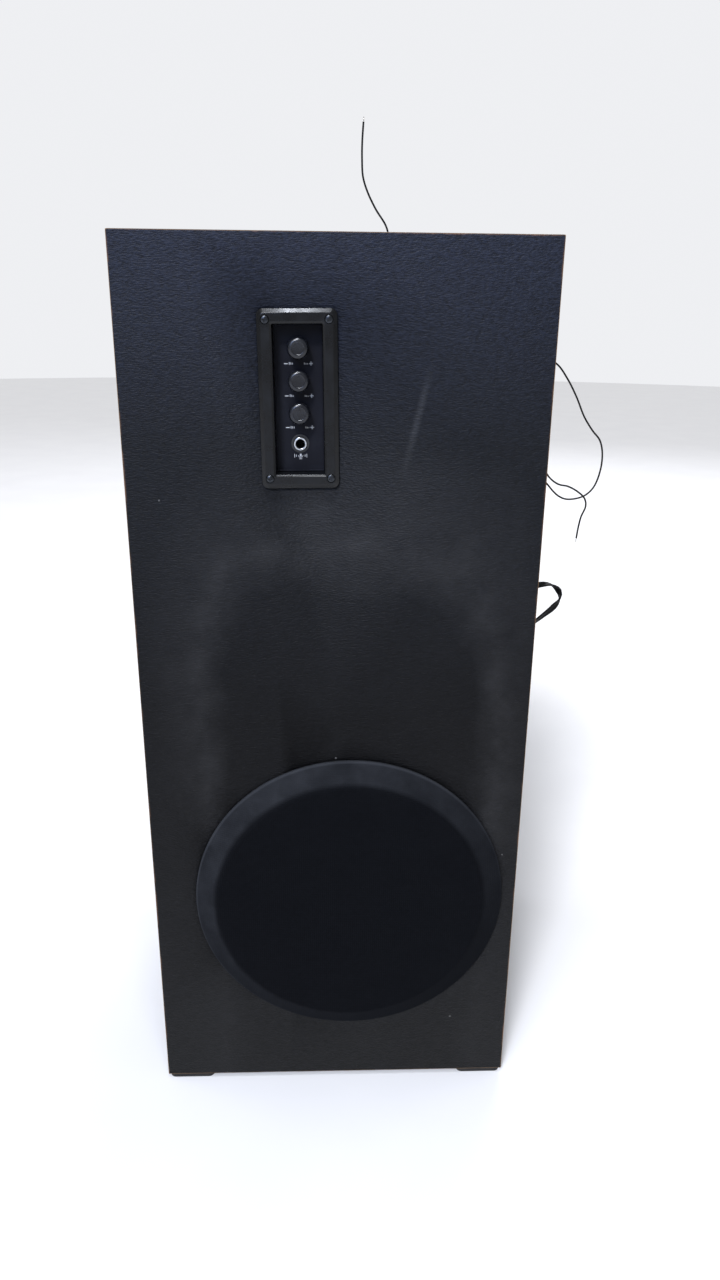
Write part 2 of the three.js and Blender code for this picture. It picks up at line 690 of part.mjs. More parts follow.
function addElectronics() {
  const finPitch = heatsinkWidth / (finCount - 0.5);
  const outline = [[0, 0], [heatsinkWidth, 0]];
  for (let i = finCount - 1; i >= 0; i -= 1) {
    const left = i * finPitch;
    outline.push([left + finPitch / 2, heatsinkDepth], [left, heatsinkDepth]);
    if (i > 0) outline.push([left, 5], [left - finPitch / 2, 5]);
  }
  const comb = new THREE.Shape(outline.map(([x, y]) => new THREE.Vector2(x, -y)));
  const heatsink = new THREE.ExtrudeGeometry(comb, { depth: heatsinkHeight, bevelEnabled: false });
  heatsink.translate(-heatsinkWidth / 2, 0, 0);
  addMesh(rear, 'heatsink', heatsink, aluminium);

  const spacerX = 44;
  const spacerZ = 30;
  const spacerLength = 8;
  const boardZ = -46;
  const boardSize = block(2 * spacerX + 10, 1.6, 2 * spacerZ + 10, 0, -spacerLength - 0.8, boardZ);
  const spacers = corners(spacerX - 12, spacerZ).map(([x, z]) => {
    return toRear(rod(2.5, -spacerLength - 0.5, 0, 0, 0, 10), x - 12, z + boardZ);
  });
  addMesh(rear, 'amplifier_board', join(boardSize.translate(-12, 0, 0), ...spacers), circuitBoard);

  const coreZ = footHeight + boardThickness + gap;
  const core = block(66, 34, 54, 0, 0, 27);
  const winding = block(40, 52, 34, 0, 0, 27);
  const foot = block(84, 34, 2, 0, 0, 1);
  const transformer = join(core, winding, foot).translate(-70, backFaceY - backThickness - 60, coreZ);
  addMesh(speaker, 'transformer', transformer, blackSteel);
}

// Free leads at the back: points are [right, out of the back, up]

const fromBack = (points) => points.map(([x, out, z]) => new THREE.Vector3(x, backFaceY + out, z));

function tube(points, radius, steps) {
  const sides = 8;
  const section = new THREE.Shape([...Array(sides).keys()].map((i) => {
    const angle = ((i + 0.5) * 2 * Math.PI) / sides;
    return new THREE.Vector2(radius * Math.cos(angle), radius * Math.sin(angle));
  }));
  const path = new THREE.CatmullRomCurve3(fromBack(points), false, 'centripetal');
  return new THREE.ExtrudeGeometry(section, { steps, extrudePath: path, bevelEnabled: false });
}

function addAerial() {
  const grommet = turned([
    [0, -backThickness - 2], [grommetRadius - 1, -backThickness - 2],
    [grommetRadius - 1, -backThickness - gap], [grommetNeck, -backThickness - gap], [grommetNeck, gap],
    [grommetRadius, gap], [grommetRadius, 1.5], [grommetRadius - 1, 2.5], [0, 2.5],
  ], 20);
  const grommetZ = footHeight + grommetRise;
  addMesh(speaker, 'wire_grommet', toRear(grommet, grommetX, grommetZ).translate(0, backFaceY, 0), rubber);

  const bow = wireRadius + gap;
  const clipOutline = new THREE.Shape();
  clipOutline.absarc(0, wireStandOff, bow + clipWall, 0, Math.PI);
  clipOutline.lineTo(-bow - clipWall, gap);
  clipOutline.lineTo(-bow, gap);
  clipOutline.absarc(0, wireStandOff, bow, Math.PI, 0, true);
  clipOutline.lineTo(bow, gap);
  clipOutline.lineTo(bow + clipWall, gap);
  const clip = new THREE.ExtrudeGeometry(clipOutline, {
    depth: clipLength, bevelEnabled: false, curveSegments: 6,
  });
  clip.translate(clipX, backFaceY, footHeight + clipRise);
  addMesh(speaker, 'wire_clip', clip, plainSteel);

  // Up the back panel, through the clip and 110 mm above the top, bare at its end.
  addMesh(speaker, 'aerial_lead_top', tube([
    [94, 2.8, 599], [94, 6, 599], [93, 9, 602], [88, 8, 615], [78, 5, 640], [64, 3.5, 665],
    [54, 3.1, 682], [52, wireStandOff, 690], [52, wireStandOff, 696], [52, wireStandOff, 703],
    [52.5, 3.5, 718], [50, 6, 737], [39, 8, 754], [31, 8, 769], [27, 8, 781], [26, 8, 795],
    [26, 8, 809], [27, 8, 826],
  ], wireRadius, 36), rubber);
  // Out past the right side in a loose bow, back behind the cabinet and out again, bare at its end.
  addMesh(speaker, 'aerial_lead_side', tube([
    [98, 2.8, 599], [98, 8, 599], [103, 14, 601], [118, 18, 607], [145, 18, 617], [180, 16, 624],
    [205, 14, 623], [224, 14, 615], [236, 14, 601], [247, 14, 583], [257, 14, 563], [267, 14, 549],
    [275, 14, 540], [279, 14, 528], [279, 14, 509], [273, 14, 490], [263, 14, 481], [246, 14, 478],
    [236, 14, 482], [223, 14, 495], [211, 14, 509], [203, 15, 522], [203, 16, 532], [209, 18, 535],
    [215, 19, 527], [219, 19, 513], [227, 19, 500], [237, 18, 493], [247, 17, 491], [257, 16, 486],
    [265, 15, 479], [267, 14, 471], [263, 14, 459], [261, 14, 447], [260, 14, 436],
  ], wireRadius, 70), rubber);
}

function addMainsLead() {
  addMesh(speaker, 'mains_lead', tube([
    [62, 26.2, 374], [62, 33, 374], [66, 44, 374.5], [84, 54, 374], [115, 57, 368], [150, 55, 363],
    [190, 50, 363], [215, 47, 369], [232, 45, 375], [245, 45, 375], [254, 45, 368], [256, 45, 359],
    [250, 45, 349], [238, 45, 338], [220, 45, 323], [196, 47, 303], [168, 51, 277], [138, 56, 243],
    [112, 60, 200], [96, 62, 150], [87, 63, 105], [83, 66, 70], [80, 73, 43], [78, 84, 24],
    [77, 93, 16], [76.8, 99, 12], [77.3, 105, 7.2], [79.2, 113, 4],
  ], mainsRadius, 56), rubber);

  const round = 2;
  const coil = new THREE.LatheGeometry([
    [coilInner, round], [coilInner + round, gap], [coilOuter - round, gap], [coilOuter, round],
    [coilOuter, coilHeight - round], [coilOuter - round, coilHeight],
    [coilInner + round, coilHeight], [coilInner, coilHeight - round], [coilInner, round],
  ].map(([r, h]) => new THREE.Vector2(r, h)), 36);
  coil.rotateX(Math.PI / 2).translate(coilX, backFaceY + coilOut, 0);
  addMesh(speaker, 'mains_coil', coil, rubber);

  // The plug lies beside the coil and points left; x runs back from the tip of its relief.
  const tipRadius = 4;
  const bodyX = -plugRelief - plugBody / 2;
  const body = block(plugBody, plugWidth, plugHeight, bodyX, 0, 0);
  const relief = new THREE.CylinderGeometry(tipRadius, tipRadius + 2, plugRelief + 2, 12);
  relief.rotateZ(-Math.PI / 2).translate(-plugRelief / 2 - 1, 0, 0);
  const pin = (y) => new THREE.CylinderGeometry(pinRadius, pinRadius, pinLength + 2, 12)
    .rotateZ(Math.PI / 2)
    .translate(1 - plugRelief - plugBody - pinLength / 2, y, 0);
  const plug = join(body, relief, pin(-pinPitch / 2), pin(pinPitch / 2));
  const plugOut = coilOut + coilOuter + tipRadius;
  plug.translate(coilX - 6, backFaceY + plugOut, plugHeight / 2 + gap);
  addMesh(speaker, 'mains_plug', plug, blackPlastic);
}

addCabinet();
addGrille();
addBasket();
addWooferScrews();
addMovingCone();
addSuspension();
addMotor();
addCup();
addControls();
addRearPlate();
addElectronics();
addAerial();
addMainsLead();

export default speaker;
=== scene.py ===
import json
import math

import bmesh
import bpy
from mathutils import Matrix, Vector


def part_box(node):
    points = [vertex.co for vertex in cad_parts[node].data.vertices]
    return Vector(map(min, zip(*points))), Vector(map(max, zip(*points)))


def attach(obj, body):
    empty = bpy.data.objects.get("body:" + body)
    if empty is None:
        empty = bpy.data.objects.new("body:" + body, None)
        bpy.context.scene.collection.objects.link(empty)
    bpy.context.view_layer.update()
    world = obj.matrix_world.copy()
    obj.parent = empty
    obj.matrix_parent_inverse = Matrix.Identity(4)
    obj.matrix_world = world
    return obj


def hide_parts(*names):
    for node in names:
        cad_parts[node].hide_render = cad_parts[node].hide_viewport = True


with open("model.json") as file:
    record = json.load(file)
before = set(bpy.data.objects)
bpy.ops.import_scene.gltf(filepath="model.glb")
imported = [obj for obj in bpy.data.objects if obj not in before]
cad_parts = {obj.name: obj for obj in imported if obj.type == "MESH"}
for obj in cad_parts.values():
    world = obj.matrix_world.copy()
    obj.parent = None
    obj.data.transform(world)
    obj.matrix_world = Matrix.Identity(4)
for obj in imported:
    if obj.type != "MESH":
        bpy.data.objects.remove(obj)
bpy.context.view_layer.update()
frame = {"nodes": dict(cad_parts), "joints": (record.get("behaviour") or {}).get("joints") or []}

mm = 0.001

# Camera: a short wide lens a little left of the middle, at the height of the control cup and tilted
# down over the front, so that the cabinet narrows towards its foot.

camera_data = bpy.data.cameras.new("camera")
camera_data.lens = 25.99
camera_data.sensor_width = 36
camera_data.clip_start = 20 * mm
camera = bpy.data.objects.new("camera", camera_data)
camera.location = (-7.92 * mm, -804.63 * mm, 665.16 * mm)
camera.rotation_euler = [math.radians(turn) for turn in (70.273, -0.592, -2.002)]
bpy.context.scene.collection.objects.link(camera)
bpy.context.scene.camera = camera
bpy.context.scene.view_settings.view_transform = "Standard"

# Stage: a plain white floor under soft light. The main light comes from high in front, a small
# softbox over the top picks out the cup, a cool one fills the front, and three fill back and sides.


def linear(code):
    """A colour such as "2a2c30" from sRGB to the linear values that a socket holds."""
    shares = [int(code[i:i + 2], 16) / 255 for i in (0, 2, 4)]
    return [*(c / 12.92 if c <= 0.04045 else ((c + 0.055) / 1.055) ** 2.4 for c in shares), 1]


def add_node(material, kind, inputs=None, **settings):
    """Adds a node. Inputs gives each input's value or what feeds it, and stops gives a ramp's colours."""
    node = material.node_tree.nodes.new(f"ShaderNode{kind}")
    for place, colour in settings.pop("stops", {}).items():
        ramp = node.color_ramp.elements
        stop = ramp.new(place) if 0 < place < 1 else ramp[-1 if place else 0]
        stop.color = linear(colour)
    for name, value in settings.items():
        setattr(node, name, value)
    for name, value in (inputs or {}).items():
        if isinstance(value, bpy.types.Node):
            value = value.outputs[0]
        if isinstance(value, bpy.types.NodeSocket):
            material.node_tree.links.new(value, node.inputs[name])
        else:
            node.inputs[name].default_value = value
    return node


def new_material(name):
    """A material with an empty node tree, and the Object coordinates that its patterns follow."""
    material = bpy.data.materials.new(name)
    material.use_nodes = True
    material.node_tree.nodes.clear()
    return material, add_node(material, "TexCoord").outputs["Object"]


def spots(width, detail, roughness=0.5):
    """The settings of a noise, from the width of its spots on the real surface in mm."""
    return {"Scale": 1 / (width * mm), "Detail": detail, "Roughness": roughness}


def mottled(name, tones, mottle, gloss, relief=None, grain=None, sockets=None):
    """A material whose tone follows a noise, as its gloss may. Its relief, [strength, depth in mm],
    follows the grain's noise, or the same one."""
    material, place = new_material(name)
    patches = add_node(material, "TexNoise", {"Vector": place, **mottle})
    inputs = {
        "Base Color": add_node(material, "ValToRGB", {"Fac": patches}, stops=tones),
        "Roughness": gloss,
        **(sockets or {}),
    }
    if isinstance(gloss, dict):
        inputs["Roughness"] = add_node(material, "MapRange", {"Value": patches, **gloss})
    if relief:
        bumps = add_node(material, "TexNoise", {"Vector": place, **grain}) if grain else patches
        inputs["Normal"] = add_node(material, "Bump", {
            "Height": bumps, "Strength": relief[0], "Distance": relief[1] * mm,
        })
    shader = add_node(material, "BsdfPrincipled", inputs)
    add_node(material, "OutputMaterial", {"Surface": shader})
    return material


def new_object(name, shape, material, sharp_angle=32):
    """An object made from a bmesh, with its doubles merged and its faces pointing out."""
    bmesh.ops.remove_doubles(shape, verts=shape.verts, dist=0.002 * mm)
    bmesh.ops.recalc_face_normals(shape, faces=shape.faces)
    mesh = bpy.data.meshes.new(name)
    shape.to_mesh(mesh)
    shape.free()
    mesh.shade_smooth()
    mesh.set_sharp_from_angle(angle=math.radians(sharp_angle))
    mesh.materials.append(material)
    made = bpy.data.objects.new(name, mesh)
    bpy.context.scene.collection.objects.link(made)
    return made


floor_paint = mottled("painted_floor", {0: "e9e9ea", 1: "f1f1f1"}, spots(167, 4.0), gloss=0.8)

floor_shape = bmesh.new()
bmesh.ops.create_circle(floor_shape, cap_ends=True, segments=96, radius=9)
floor = new_object("floor", floor_shape, floor_paint)

# The white backdrop is seen at full strength and lights the object at less than half of it.
world = bpy.data.worlds.new("pale_studio")
world.use_nodes = True
world.node_tree.nodes.clear()
seen_directly = add_node(world, "LightPath").outputs["Is Camera Ray"]
backdrop = add_node(world, "Background", {
    "Color": linear("f4f5f8"),
    "Strength": add_node(world, "MapRange", {"Value": seen_directly, "To Min": 0.36, "To Max": 0.95}),
})
add_node(world, "OutputWorld", {"Surface": backdrop})
bpy.context.scene.world = world


def add_lamp(name, kind, at, towards, strength, colour, size):
    """A lamp aimed at a point. An AREA's size is its side in metres, and a SUN's its spread in radians."""
    light = bpy.data.lights.new(name, kind)
    light.energy = strength
    light.color = linear(colour)[:3]
    if kind == "SUN":
        light.angle = size
    else:
        light.shape = "SQUARE"
        light.size = size
    lamp = bpy.data.objects.new(name, light)
    lamp.location = at
    lamp.rotation_euler = (Vector(towards) - Vector(at)).to_track_quat("-Z", "Y").to_euler()
    lamp.visible_camera = False
    bpy.context.scene.collection.objects.link(lamp)


add_lamp("key_light", "SUN", (-1.1, -3.0, 3.6), (0, 0, 0.4), 2.4, "fdfdff", 0.18)
add_lamp("overhead_softbox", "AREA", (-0.06, -0.457, 1.6), (-0.04, -0.2, 0.5), 6, "eef4ff", 0.14)
add_lamp("front_softbox", "AREA", (-1.2, -3.1, 2.1), (0, 0, 0.6), 52, "adc3f3", 1.3)
add_lamp("rear_softbox", "AREA", (0.9, 3.0, 2.3), (0, 0, 0.4), 40, "f6f8ff", 1.6)
add_lamp("left_softbox", "AREA", (-3.0, 0.6, 1.5), (0, 0.1, 0.4), 26, "f6f8ff", 1.6)
add_lamp("right_softbox", "AREA", (3.0, 0.9, 1.5), (0, 0.1, 0.4), 20, "f6f8ff", 1.6)

# Mains cord: a flat two-core flex with a soft black PVC sheath, about 7 by 2.4 mm. It leaves the rear
# plate's strain relief, swings out past the right side in one twisted loop, hangs down behind the
# cabinet and ends in a loosely wound coil on the floor, with its plug lying beside it.

back_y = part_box("back_panel")[1].y
flex_width = 7 * mm
flex_thickness = 2.4 * mm
mains_route = [  # [right, out of the back panel, up], in mm
    [62, 26.2, 374], [62, 33, 374], [66, 44, 374.5], [84, 54, 374], [115, 57, 368], [150, 55, 363],
    [190, 50, 363], [215, 47, 369], [232, 45, 375], [245, 45, 375], [254, 45, 368], [256, 45, 359],
    [250, 45, 349], [238, 45, 338], [220, 45, 323], [196, 47, 303], [168, 51, 277], [138, 56, 243],
    [112, 60, 200], [96, 62, 150], [87, 63, 105], [83, 66, 70], [80, 73, 43], [78, 84, 24],
    [77, 93, 16], [76.8, 99, 12], [77.3, 105, 7.2], [79.2, 113, 4],
]
flex_faces = {  # the way that the flex's width points at some of those points
    0: (0, 0, 1), 4: (0, 0.3, 1), 7: (-0.22, 0.32, 0.92), 8: (-0.13, 0.58, 0.79), 9: (-0.03, 1, -0.1),
    10: (-0.79, 0.3, -0.54), 11: (0.21, 0.98, -0.04), 12: (0.75, -0.08, -0.64), 13: (0.57, 0.51, -0.65),
    14: (0.36, 0.86, -0.38), 15: (0.17, 0.97, -0.2), 18: (0.3, 0.9, -0.1), 22: (0.9, 0.3, 0),
    25: (0.7, 0, 0.7), 27: (0, 0, 1),
}
coil_low, coil_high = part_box("mains_coil")
coil_centre = (coil_low + coil_high) / 2
coil_turns = 3.26
coil_first_radius = 34.3 * mm
coil_last_radius = 41.8 * mm
coil_lift = 3.9 * mm
plug_low, plug_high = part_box("mains_plug")
plug_tip = Vector((plug_high.x, (plug_low.y + plug_high.y) / 2, (plug_low.z + plug_high.z) / 2))


def from_back(points):
    """A route's points in row coordinates, from mm to the right, out of the back panel and up."""
    return [Vector((x * mm, back_y + out * mm, z * mm)) for x, out, z in points]


def smooth_route(knots, step):
    """Points a step apart on one smooth curve through the knots, and the knot number of each."""
    ends = [2 * knots[0] - knots[1], *knots, 2 * knots[-1] - knots[-2]]
    line = []
    numbers = []
    for number, (a, b, c, d) in enumerate(zip(ends, ends[1:], ends[2:], ends[3:])):
        at_b = (b - a).length ** 0.5
        at_c = at_b + (c - b).length ** 0.5
        at_d = at_c + (d - c).length ** 0.5
        count = max(2, round((c - b).length / step))
        for i in range(count):
            at = at_b + (at_c - at_b) * i / count
            before = a.lerp(b, at / at_b).lerp(b.lerp(c, (at - at_b) / (at_c - at_b)), at / at_c)
            after = b.lerp(c, (at - at_b) / (at_c - at_b))
            after = after.lerp(c.lerp(d, (at - at_c) / (at_d - at_c)), (at - at_b) / (at_d - at_b))
            line.append(before.lerp(after, (at - at_b) / (at_c - at_b)))
            numbers.append(number + i / count)
    return [*line, knots[-1]], [*numbers, len(knots) - 1]


def eased(share):
    """0 to 1 with a soft start and end."""
    share = min(max(share, 0), 1)
    return share * share * (3 - 2 * share)


def coil_line(start, steps_per_turn=40):
    """The wound turns, spreading outwards from the lead's end and lifting off at the plug."""
    steps = round(coil_turns * steps_per_turn)
    last_angle = coil_turns * math.tau
    start_radius = math.hypot(start.x - coil_centre.x, start.y - coil_centre.y)
    start_angle = math.atan2(start.y - coil_centre.y, start.x - coil_centre.x)
    settle = math.radians(38)
    lift_off = math.radians(62)
    line = []
    for i in range(1, steps):
        angle = last_angle * i / steps
        share = eased(angle / settle)
        winding = coil_first_radius + (coil_last_radius - coil_first_radius) * angle / last_angle
        radius = start_radius + (winding - start_radius) * share
        leaving = eased((angle - last_angle + lift_off) / lift_off)
        radius += (plug_tip.y - coil_centre.y - coil_last_radius) * leaving
        height = start.z + (coil_lift - start.z) * share + (plug_tip.z - coil_lift) * leaving
        turn = start_angle + angle
        line.append(Vector((
            coil_centre.x + radius * math.cos(turn),
            coil_centre.y + radius * math.sin(turn),
            height,
        )))
    return line


def flex_face(number):
    """The way that the flex's width points, turned evenly between the points that set it."""
    before = max(n for n in flex_faces if n <= number)
    after = min(n for n in flex_faces if n >= number)
    share = (number - before) / max(after - before, 1)
    return Vector(flex_faces[before]).lerp(Vector(flex_faces[after]), share)


def flex_ring(shape):
    """The section of a twin flex: two round cores with a web between them."""
    core = flex_thickness / 2
    core_place = flex_width / 2 - core
    web = 0.6 * core
    ring = bmesh.ops.create_circle(shape, cap_ends=True, segments=24, radius=1)["verts"]
    for vert in ring:
        x = vert.co.x * flex_width / 2
        across = abs(abs(x) - core_place)
        reach = max(math.sqrt(max(core ** 2 - across ** 2, 0)), web if abs(x) < core_place else 0)
        vert.co = (x, math.copysign(reach, vert.co.y), 0)
    return ring


def of_kind(parts, kind):
    """The vertices or the edges among an operator's parts."""
    return [part for part in parts if isinstance(part, kind)]


def swept(line, faces, section):
    """Extrudes a closed section along a line; faces gives the way that its width points at each point."""
    shape = bmesh.new()
    ring = section(shape)
    edges = shape.edges[:]
    previous = Matrix.Identity(4)
    for i, point in enumerate(line):
        along = (line[min(i + 1, len(line) - 1)] - line[max(i - 1, 0)]).normalized()
        wide = (faces[i] - faces[i].dot(along) * along).normalized()
        thick = along.cross(wide)
        place = Matrix((wide, thick, along)).transposed().to_4x4()
        place.translation = point
        if i:
            made = bmesh.ops.extrude_edge_only(shape, edges=edges)["geom"]
            ring = of_kind(made, bmesh.types.BMVert)
            edges = of_kind(made, bmesh.types.BMEdge)
        bmesh.ops.transform(shape, matrix=place @ previous.inverted(), verts=ring)
        previous = place
    bmesh.ops.contextual_create(shape, geom=edges)
    return shape


# Soft PVC, extruded: black and slightly greasy, so it shines along its edges, with dust on its flats.
flex_pvc = mottled(
    "extruded_soft_pvc", {0: "040404", 0.45: "070707", 1: "201f1d"}, spots(11.1, 6.0, 0.6),
    gloss={"To Min": 0.3, "To Max": 0.62}, relief=(0.25, 0.1), grain=spots(2.38, 3.0),
    sockets={"IOR": 1.53, "Specular IOR Level": 0.18},
)

lead, lead_numbers = smooth_route(from_back(mains_route), 4 * mm)
turns = coil_line(lead[-1])
mains_line = [*lead, *turns, plug_tip]
mains_faces = [flex_face(number) for number in lead_numbers] + [Vector((0, 0, 1))] * (len(turns) + 1)


def add_piece(name, shape, material, body="cabinet", sharp_angle=32):
    """A finished piece in its material, that rides on a body."""
    piece = new_object(name, shape, material, sharp_angle)
    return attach(piece, body)


mains_cord = add_piece("mains_cord", swept(mains_line, mains_faces, flex_ring), flex_pvc)
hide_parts("mains_lead", "mains_coil")

# Strain relief: a tapered sleeve of soft black rubber-like PVC, moulded with ribs so that it bends
# evenly, pushed through the rear plate and held there by its collar.

relief_low, relief_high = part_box("strain_relief")
relief_centre = (relief_low + relief_high) / 2
plate_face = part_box("rear_plate")[1].y
relief_tip = (relief_high.y - plate_face) / mm


def turned(outline, centre, forward=-1, steps=64):
    """An outline of [radius, forward] points, in mm, spun round the Y axis through a centre."""
    shape = bmesh.new()
    verts = [shape.verts.new(Vector(centre) + Vector((r, forward * h, 0)) * mm) for r, h in outline]
    edges = [shape.edges.new(pair) for pair in zip(verts, verts[1:])]
    bmesh.ops.spin(
        shape, geom=[*verts, *edges], cent=centre, axis=(0, 1, 0), angle=math.tau, steps=steps,
        use_merge=True,
    )
    return shape


rib_count = 6
rib_start = 3.6
rib_pitch = (relief_tip - rib_start - 2) / rib_count
relief_outline = [[0, -7], [5, -7], [5, 0.3], [7.6, 0.3], [8, 0.7], [8, 1.7], [7.5, 2.3], [6.6, 2.8]]
for rib in range(rib_count):
    start = rib_start + rib * rib_pitch
    outer = 6.5 - 2 * rib / rib_count
    relief_outline += [[outer - 1, start], [outer, start + 0.4], [outer - 0.1, start + rib_pitch - 1.1],
                       [outer - 1.1, start + rib_pitch - 0.7]]
relief_outline += [[4.4, relief_tip - 1.6], [4.4, relief_tip - 0.5], [4, relief_tip], [0, relief_tip]]
relief_root = Vector((relief_centre.x, plate_face, relief_centre.z))
strain_relief = add_piece(
    "ribbed_strain_relief", turned(relief_outline, relief_root, 1), flex_pvc,
)
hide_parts("strain_relief")

# Plug: a two-pin plug moulded onto the flex in hard black PVC, with finger hollows in its sides, a
# ribbed tail and two nickel-plated brass pins.

plug_height = plug_high.z - plug_low.z
plug_width = plug_high.y - plug_low.y
tail_length = 24 * mm
body_length = 36 * mm
pin_length = 19  # mm, as the next
pin_radius = 2.3
pin_pitch = 13 * mm


def rounded(shape, edges, radius, segments):
    """Rounds some edges of a bmesh."""
    bmesh.ops.bevel(
        shape, geom=edges, offset=radius, affect="EDGES", segments=segments, profile=0.5, material=-1,
    )


def box_of(width, depth, height, centre, bevel=0, segments=3, matrix=Matrix.Identity(4)):
    """A box in metres with its edges rounded."""
    shape = bmesh.new()
    place = matrix @ Matrix.Translation(centre) @ Matrix.Diagonal((width, depth, height, 1))
    bmesh.ops.create_cube(shape, size=1, matrix=place)
    if bevel:
        rounded(shape, shape.edges[:], bevel, segments)
    return shape


def add_to(shape, other):
    """Adds one bmesh's faces to another, and frees it."""
    spare = bpy.data.meshes.new("spare")
    other.to_mesh(spare)
    other.free()
    shape.from_mesh(spare)
    bpy.data.meshes.remove(spare)
    return shape


body_centre = plug_tip - Vector((tail_length + body_length / 2, 0, 0))
plug_shape = bmesh.new()
bmesh.ops.create_cube(plug_shape, size=1, matrix=Matrix.Translation(body_centre) @ Matrix.Diagonal(
    (body_length, plug_width, plug_height, 1)))
bmesh.ops.subdivide_edges(
    plug_shape, edges=[e for e in plug_shape.edges if abs(e.verts[0].co.x - e.verts[1].co.x) > mm], cuts=6,
)
for vert in plug_shape.verts:
    along = (vert.co.x - body_centre.x) / body_length + 0.5
    waist = 1 - 0.16 * math.sin(math.pi * min(along * 1.25, 1)) - 0.3 * eased((along - 0.8) / 0.2)
    vert.co.y = body_centre.y + (vert.co.y - body_centre.y) * waist
    vert.co.z = body_centre.z + (vert.co.z - body_centre.z) * (1 - 0.2 * eased((along - 0.8) / 0.2))
lengthways = [e for e in plug_shape.edges if abs(e.verts[0].co.x - e.verts[1].co.x) > mm]
end_rims = [e for e in plug_shape.edges if e.calc_face_angle(0) > 1 and e not in lengthways]
rounded(plug_shape, [*lengthways, *end_rims], 2 * mm, 4)
tail_outline = [[0, -2]]
tail_ribs = 5
for rib in range(tail_ribs):
    start = rib * 4.2
    outer = 6 - 2 * rib / tail_ribs
    tail_outline += [
        [outer, start], [outer - 0.1, start + 2.7], [outer - 1, start + 3], [outer - 1, start + 3.9],
    ]
tail_outline += [[4, 21.4], [4, 23.6], [3.6, 24], [0, 24]]
tail = turned(tail_outline, (0, 0, 0), 1, steps=32)
tail_root = Matrix.Translation(plug_tip - Vector((tail_length, 0, 0)))
bmesh.ops.transform(tail, matrix=tail_root @ Matrix.Rotation(-math.pi / 2, 4, "Z"), verts=tail.verts)
plug_body = add_piece("moulded_plug", add_to(plug_shape, tail), flex_pvc)
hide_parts("mains_plug")

# Nickel on brass, drawn and polished: warm grey, mirror-like, with fine scuffs from use.
pin_nickel = mottled(
    "nickel_plated_brass", {0: "b4aea2", 1: "d6d2c8"}, spots(1.11, 3.0),
    gloss={"To Min": 0.14, "To Max": 0.34}, sockets={"Metallic": 1.0},
)

pin_outline = [
    [0, -3], [pin_radius, -3], [pin_radius, pin_length - 1.4], [pin_radius - 0.4, pin_length - 0.4],
    [pin_radius - 1.2, pin_length], [0, pin_length],
]
pins = bmesh.new()
for side in (-1, 1):
    pin = turned(pin_outline, (0, 0, 0), 1, steps=24)
    root = plug_tip + Vector((-tail_length - body_length, side * pin_pitch / 2, 0))
    turn = Matrix.Translation(root) @ Matrix.Rotation(math.pi / 2, 4, "Z")
    bmesh.ops.transform(pin, matrix=turn, verts=pin.verts)
    add_to(pins, pin)
plug_pins = add_piece("plug_pins", pins, pin_nickel)

# Aerial leads: two thin single-core hook-up wires in black PVC, 1.8 mm over the insulation, which come
# out of one grommet. One is held by a nail clip and stands up behind the top; the other bows out
# past the right side. Both are cut off, with a few millimetres of tinned strands bare.

wire_radius = 0.9 * mm
aerial_routes = {
    "aerial_wire_top": ("aerial_lead_top", 0.25, [
        [94, 2.8, 599], [94, 6, 599], [93, 9, 602], [88, 8, 615], [78, 5, 640], [64, 3.5, 665],
        [54, 3.1, 682], [52, 3, 690], [52, 3, 696], [52, 3, 703], [52.5, 3.5, 718], [50, 6, 737],
        [39, 8, 754], [31, 8, 769], [27, 8, 781], [26, 8, 795], [26, 8, 809], [27, 8, 826],
    ]),
    "aerial_wire_side": ("aerial_lead_side", 0.525, [
        [98, 2.8, 599], [98, 8, 599], [103, 14, 601], [118, 18, 607], [145, 18, 617], [180, 16, 624],
        [205, 14, 623], [224, 14, 615], [236, 14, 601], [247, 14, 583], [257, 14, 563], [267, 14, 549],
        [275, 14, 540], [279, 14, 528], [279, 14, 509], [273, 14, 490], [263, 14, 481], [246, 14, 478],
        [236, 14, 482], [223, 14, 495], [211, 14, 509], [203, 15, 522], [203, 16, 532], [209, 18, 535],
        [215, 19, 527], [219, 19, 513], [227, 19, 500], [237, 18, 493], [247, 17, 491], [257, 16, 486],
        [265, 15, 479], [267, 14, 471], [263, 14, 459], [261, 14, 447], [260, 14, 436],
    ]),
}


def round_curve(name, lines, radius, material):
    """Round wire along one or more lines of points."""
    curve = bpy.data.curves.new(name, "CURVE")
    curve.dimensions = "3D"
    curve.bevel_depth = radius
    curve.bevel_resolution = 3
    curve.use_fill_caps = True
    for line in lines:
        spline = curve.splines.new("POLY")
        spline.points.add(len(line) - 1)
        for point, at in zip(spline.points, line):
            point.co = (*at, 1)
    curve.materials.append(material)
    wire = bpy.data.objects.new(name, curve)
    bpy.context.scene.collection.objects.link(wire)
    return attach(wire, "cabinet")


strand_radius = 0.2 * mm
bare_length = 5 * mm  # one turn of the strands
for name, (node, length, route) in aerial_routes.items():
    line = smooth_route(from_back(route), 2 * mm)[0]
    wire = round_curve(name, [line], wire_radius, flex_pvc)
    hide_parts(node)
    ahead = (line[-1] - line[-2]).normalized()
    side = ahead.orthogonal().normalized()
    strands = []
    for strand in range(4):
        phases = [strand * math.pi / 2 + math.tau * i / 12 for i in range(13)]
        strands.append([
            line[-1] + ahead * (bare_length * i / 12 - mm)
            + Matrix.Rotation(phase, 3, ahead) @ side * strand_radius * 1.4
            for i, phase in enumerate(phases)
        ])
    tip = round_curve(f"{name}_bare_strands", strands, strand_radius, pin_nickel)

# Boards: 12 mm medium-density fibreboard, sawn and glued into a box, with a 9 mm back and one brace
# across the middle. The film covers them outside, so only their inner faces and cuts stay bare.

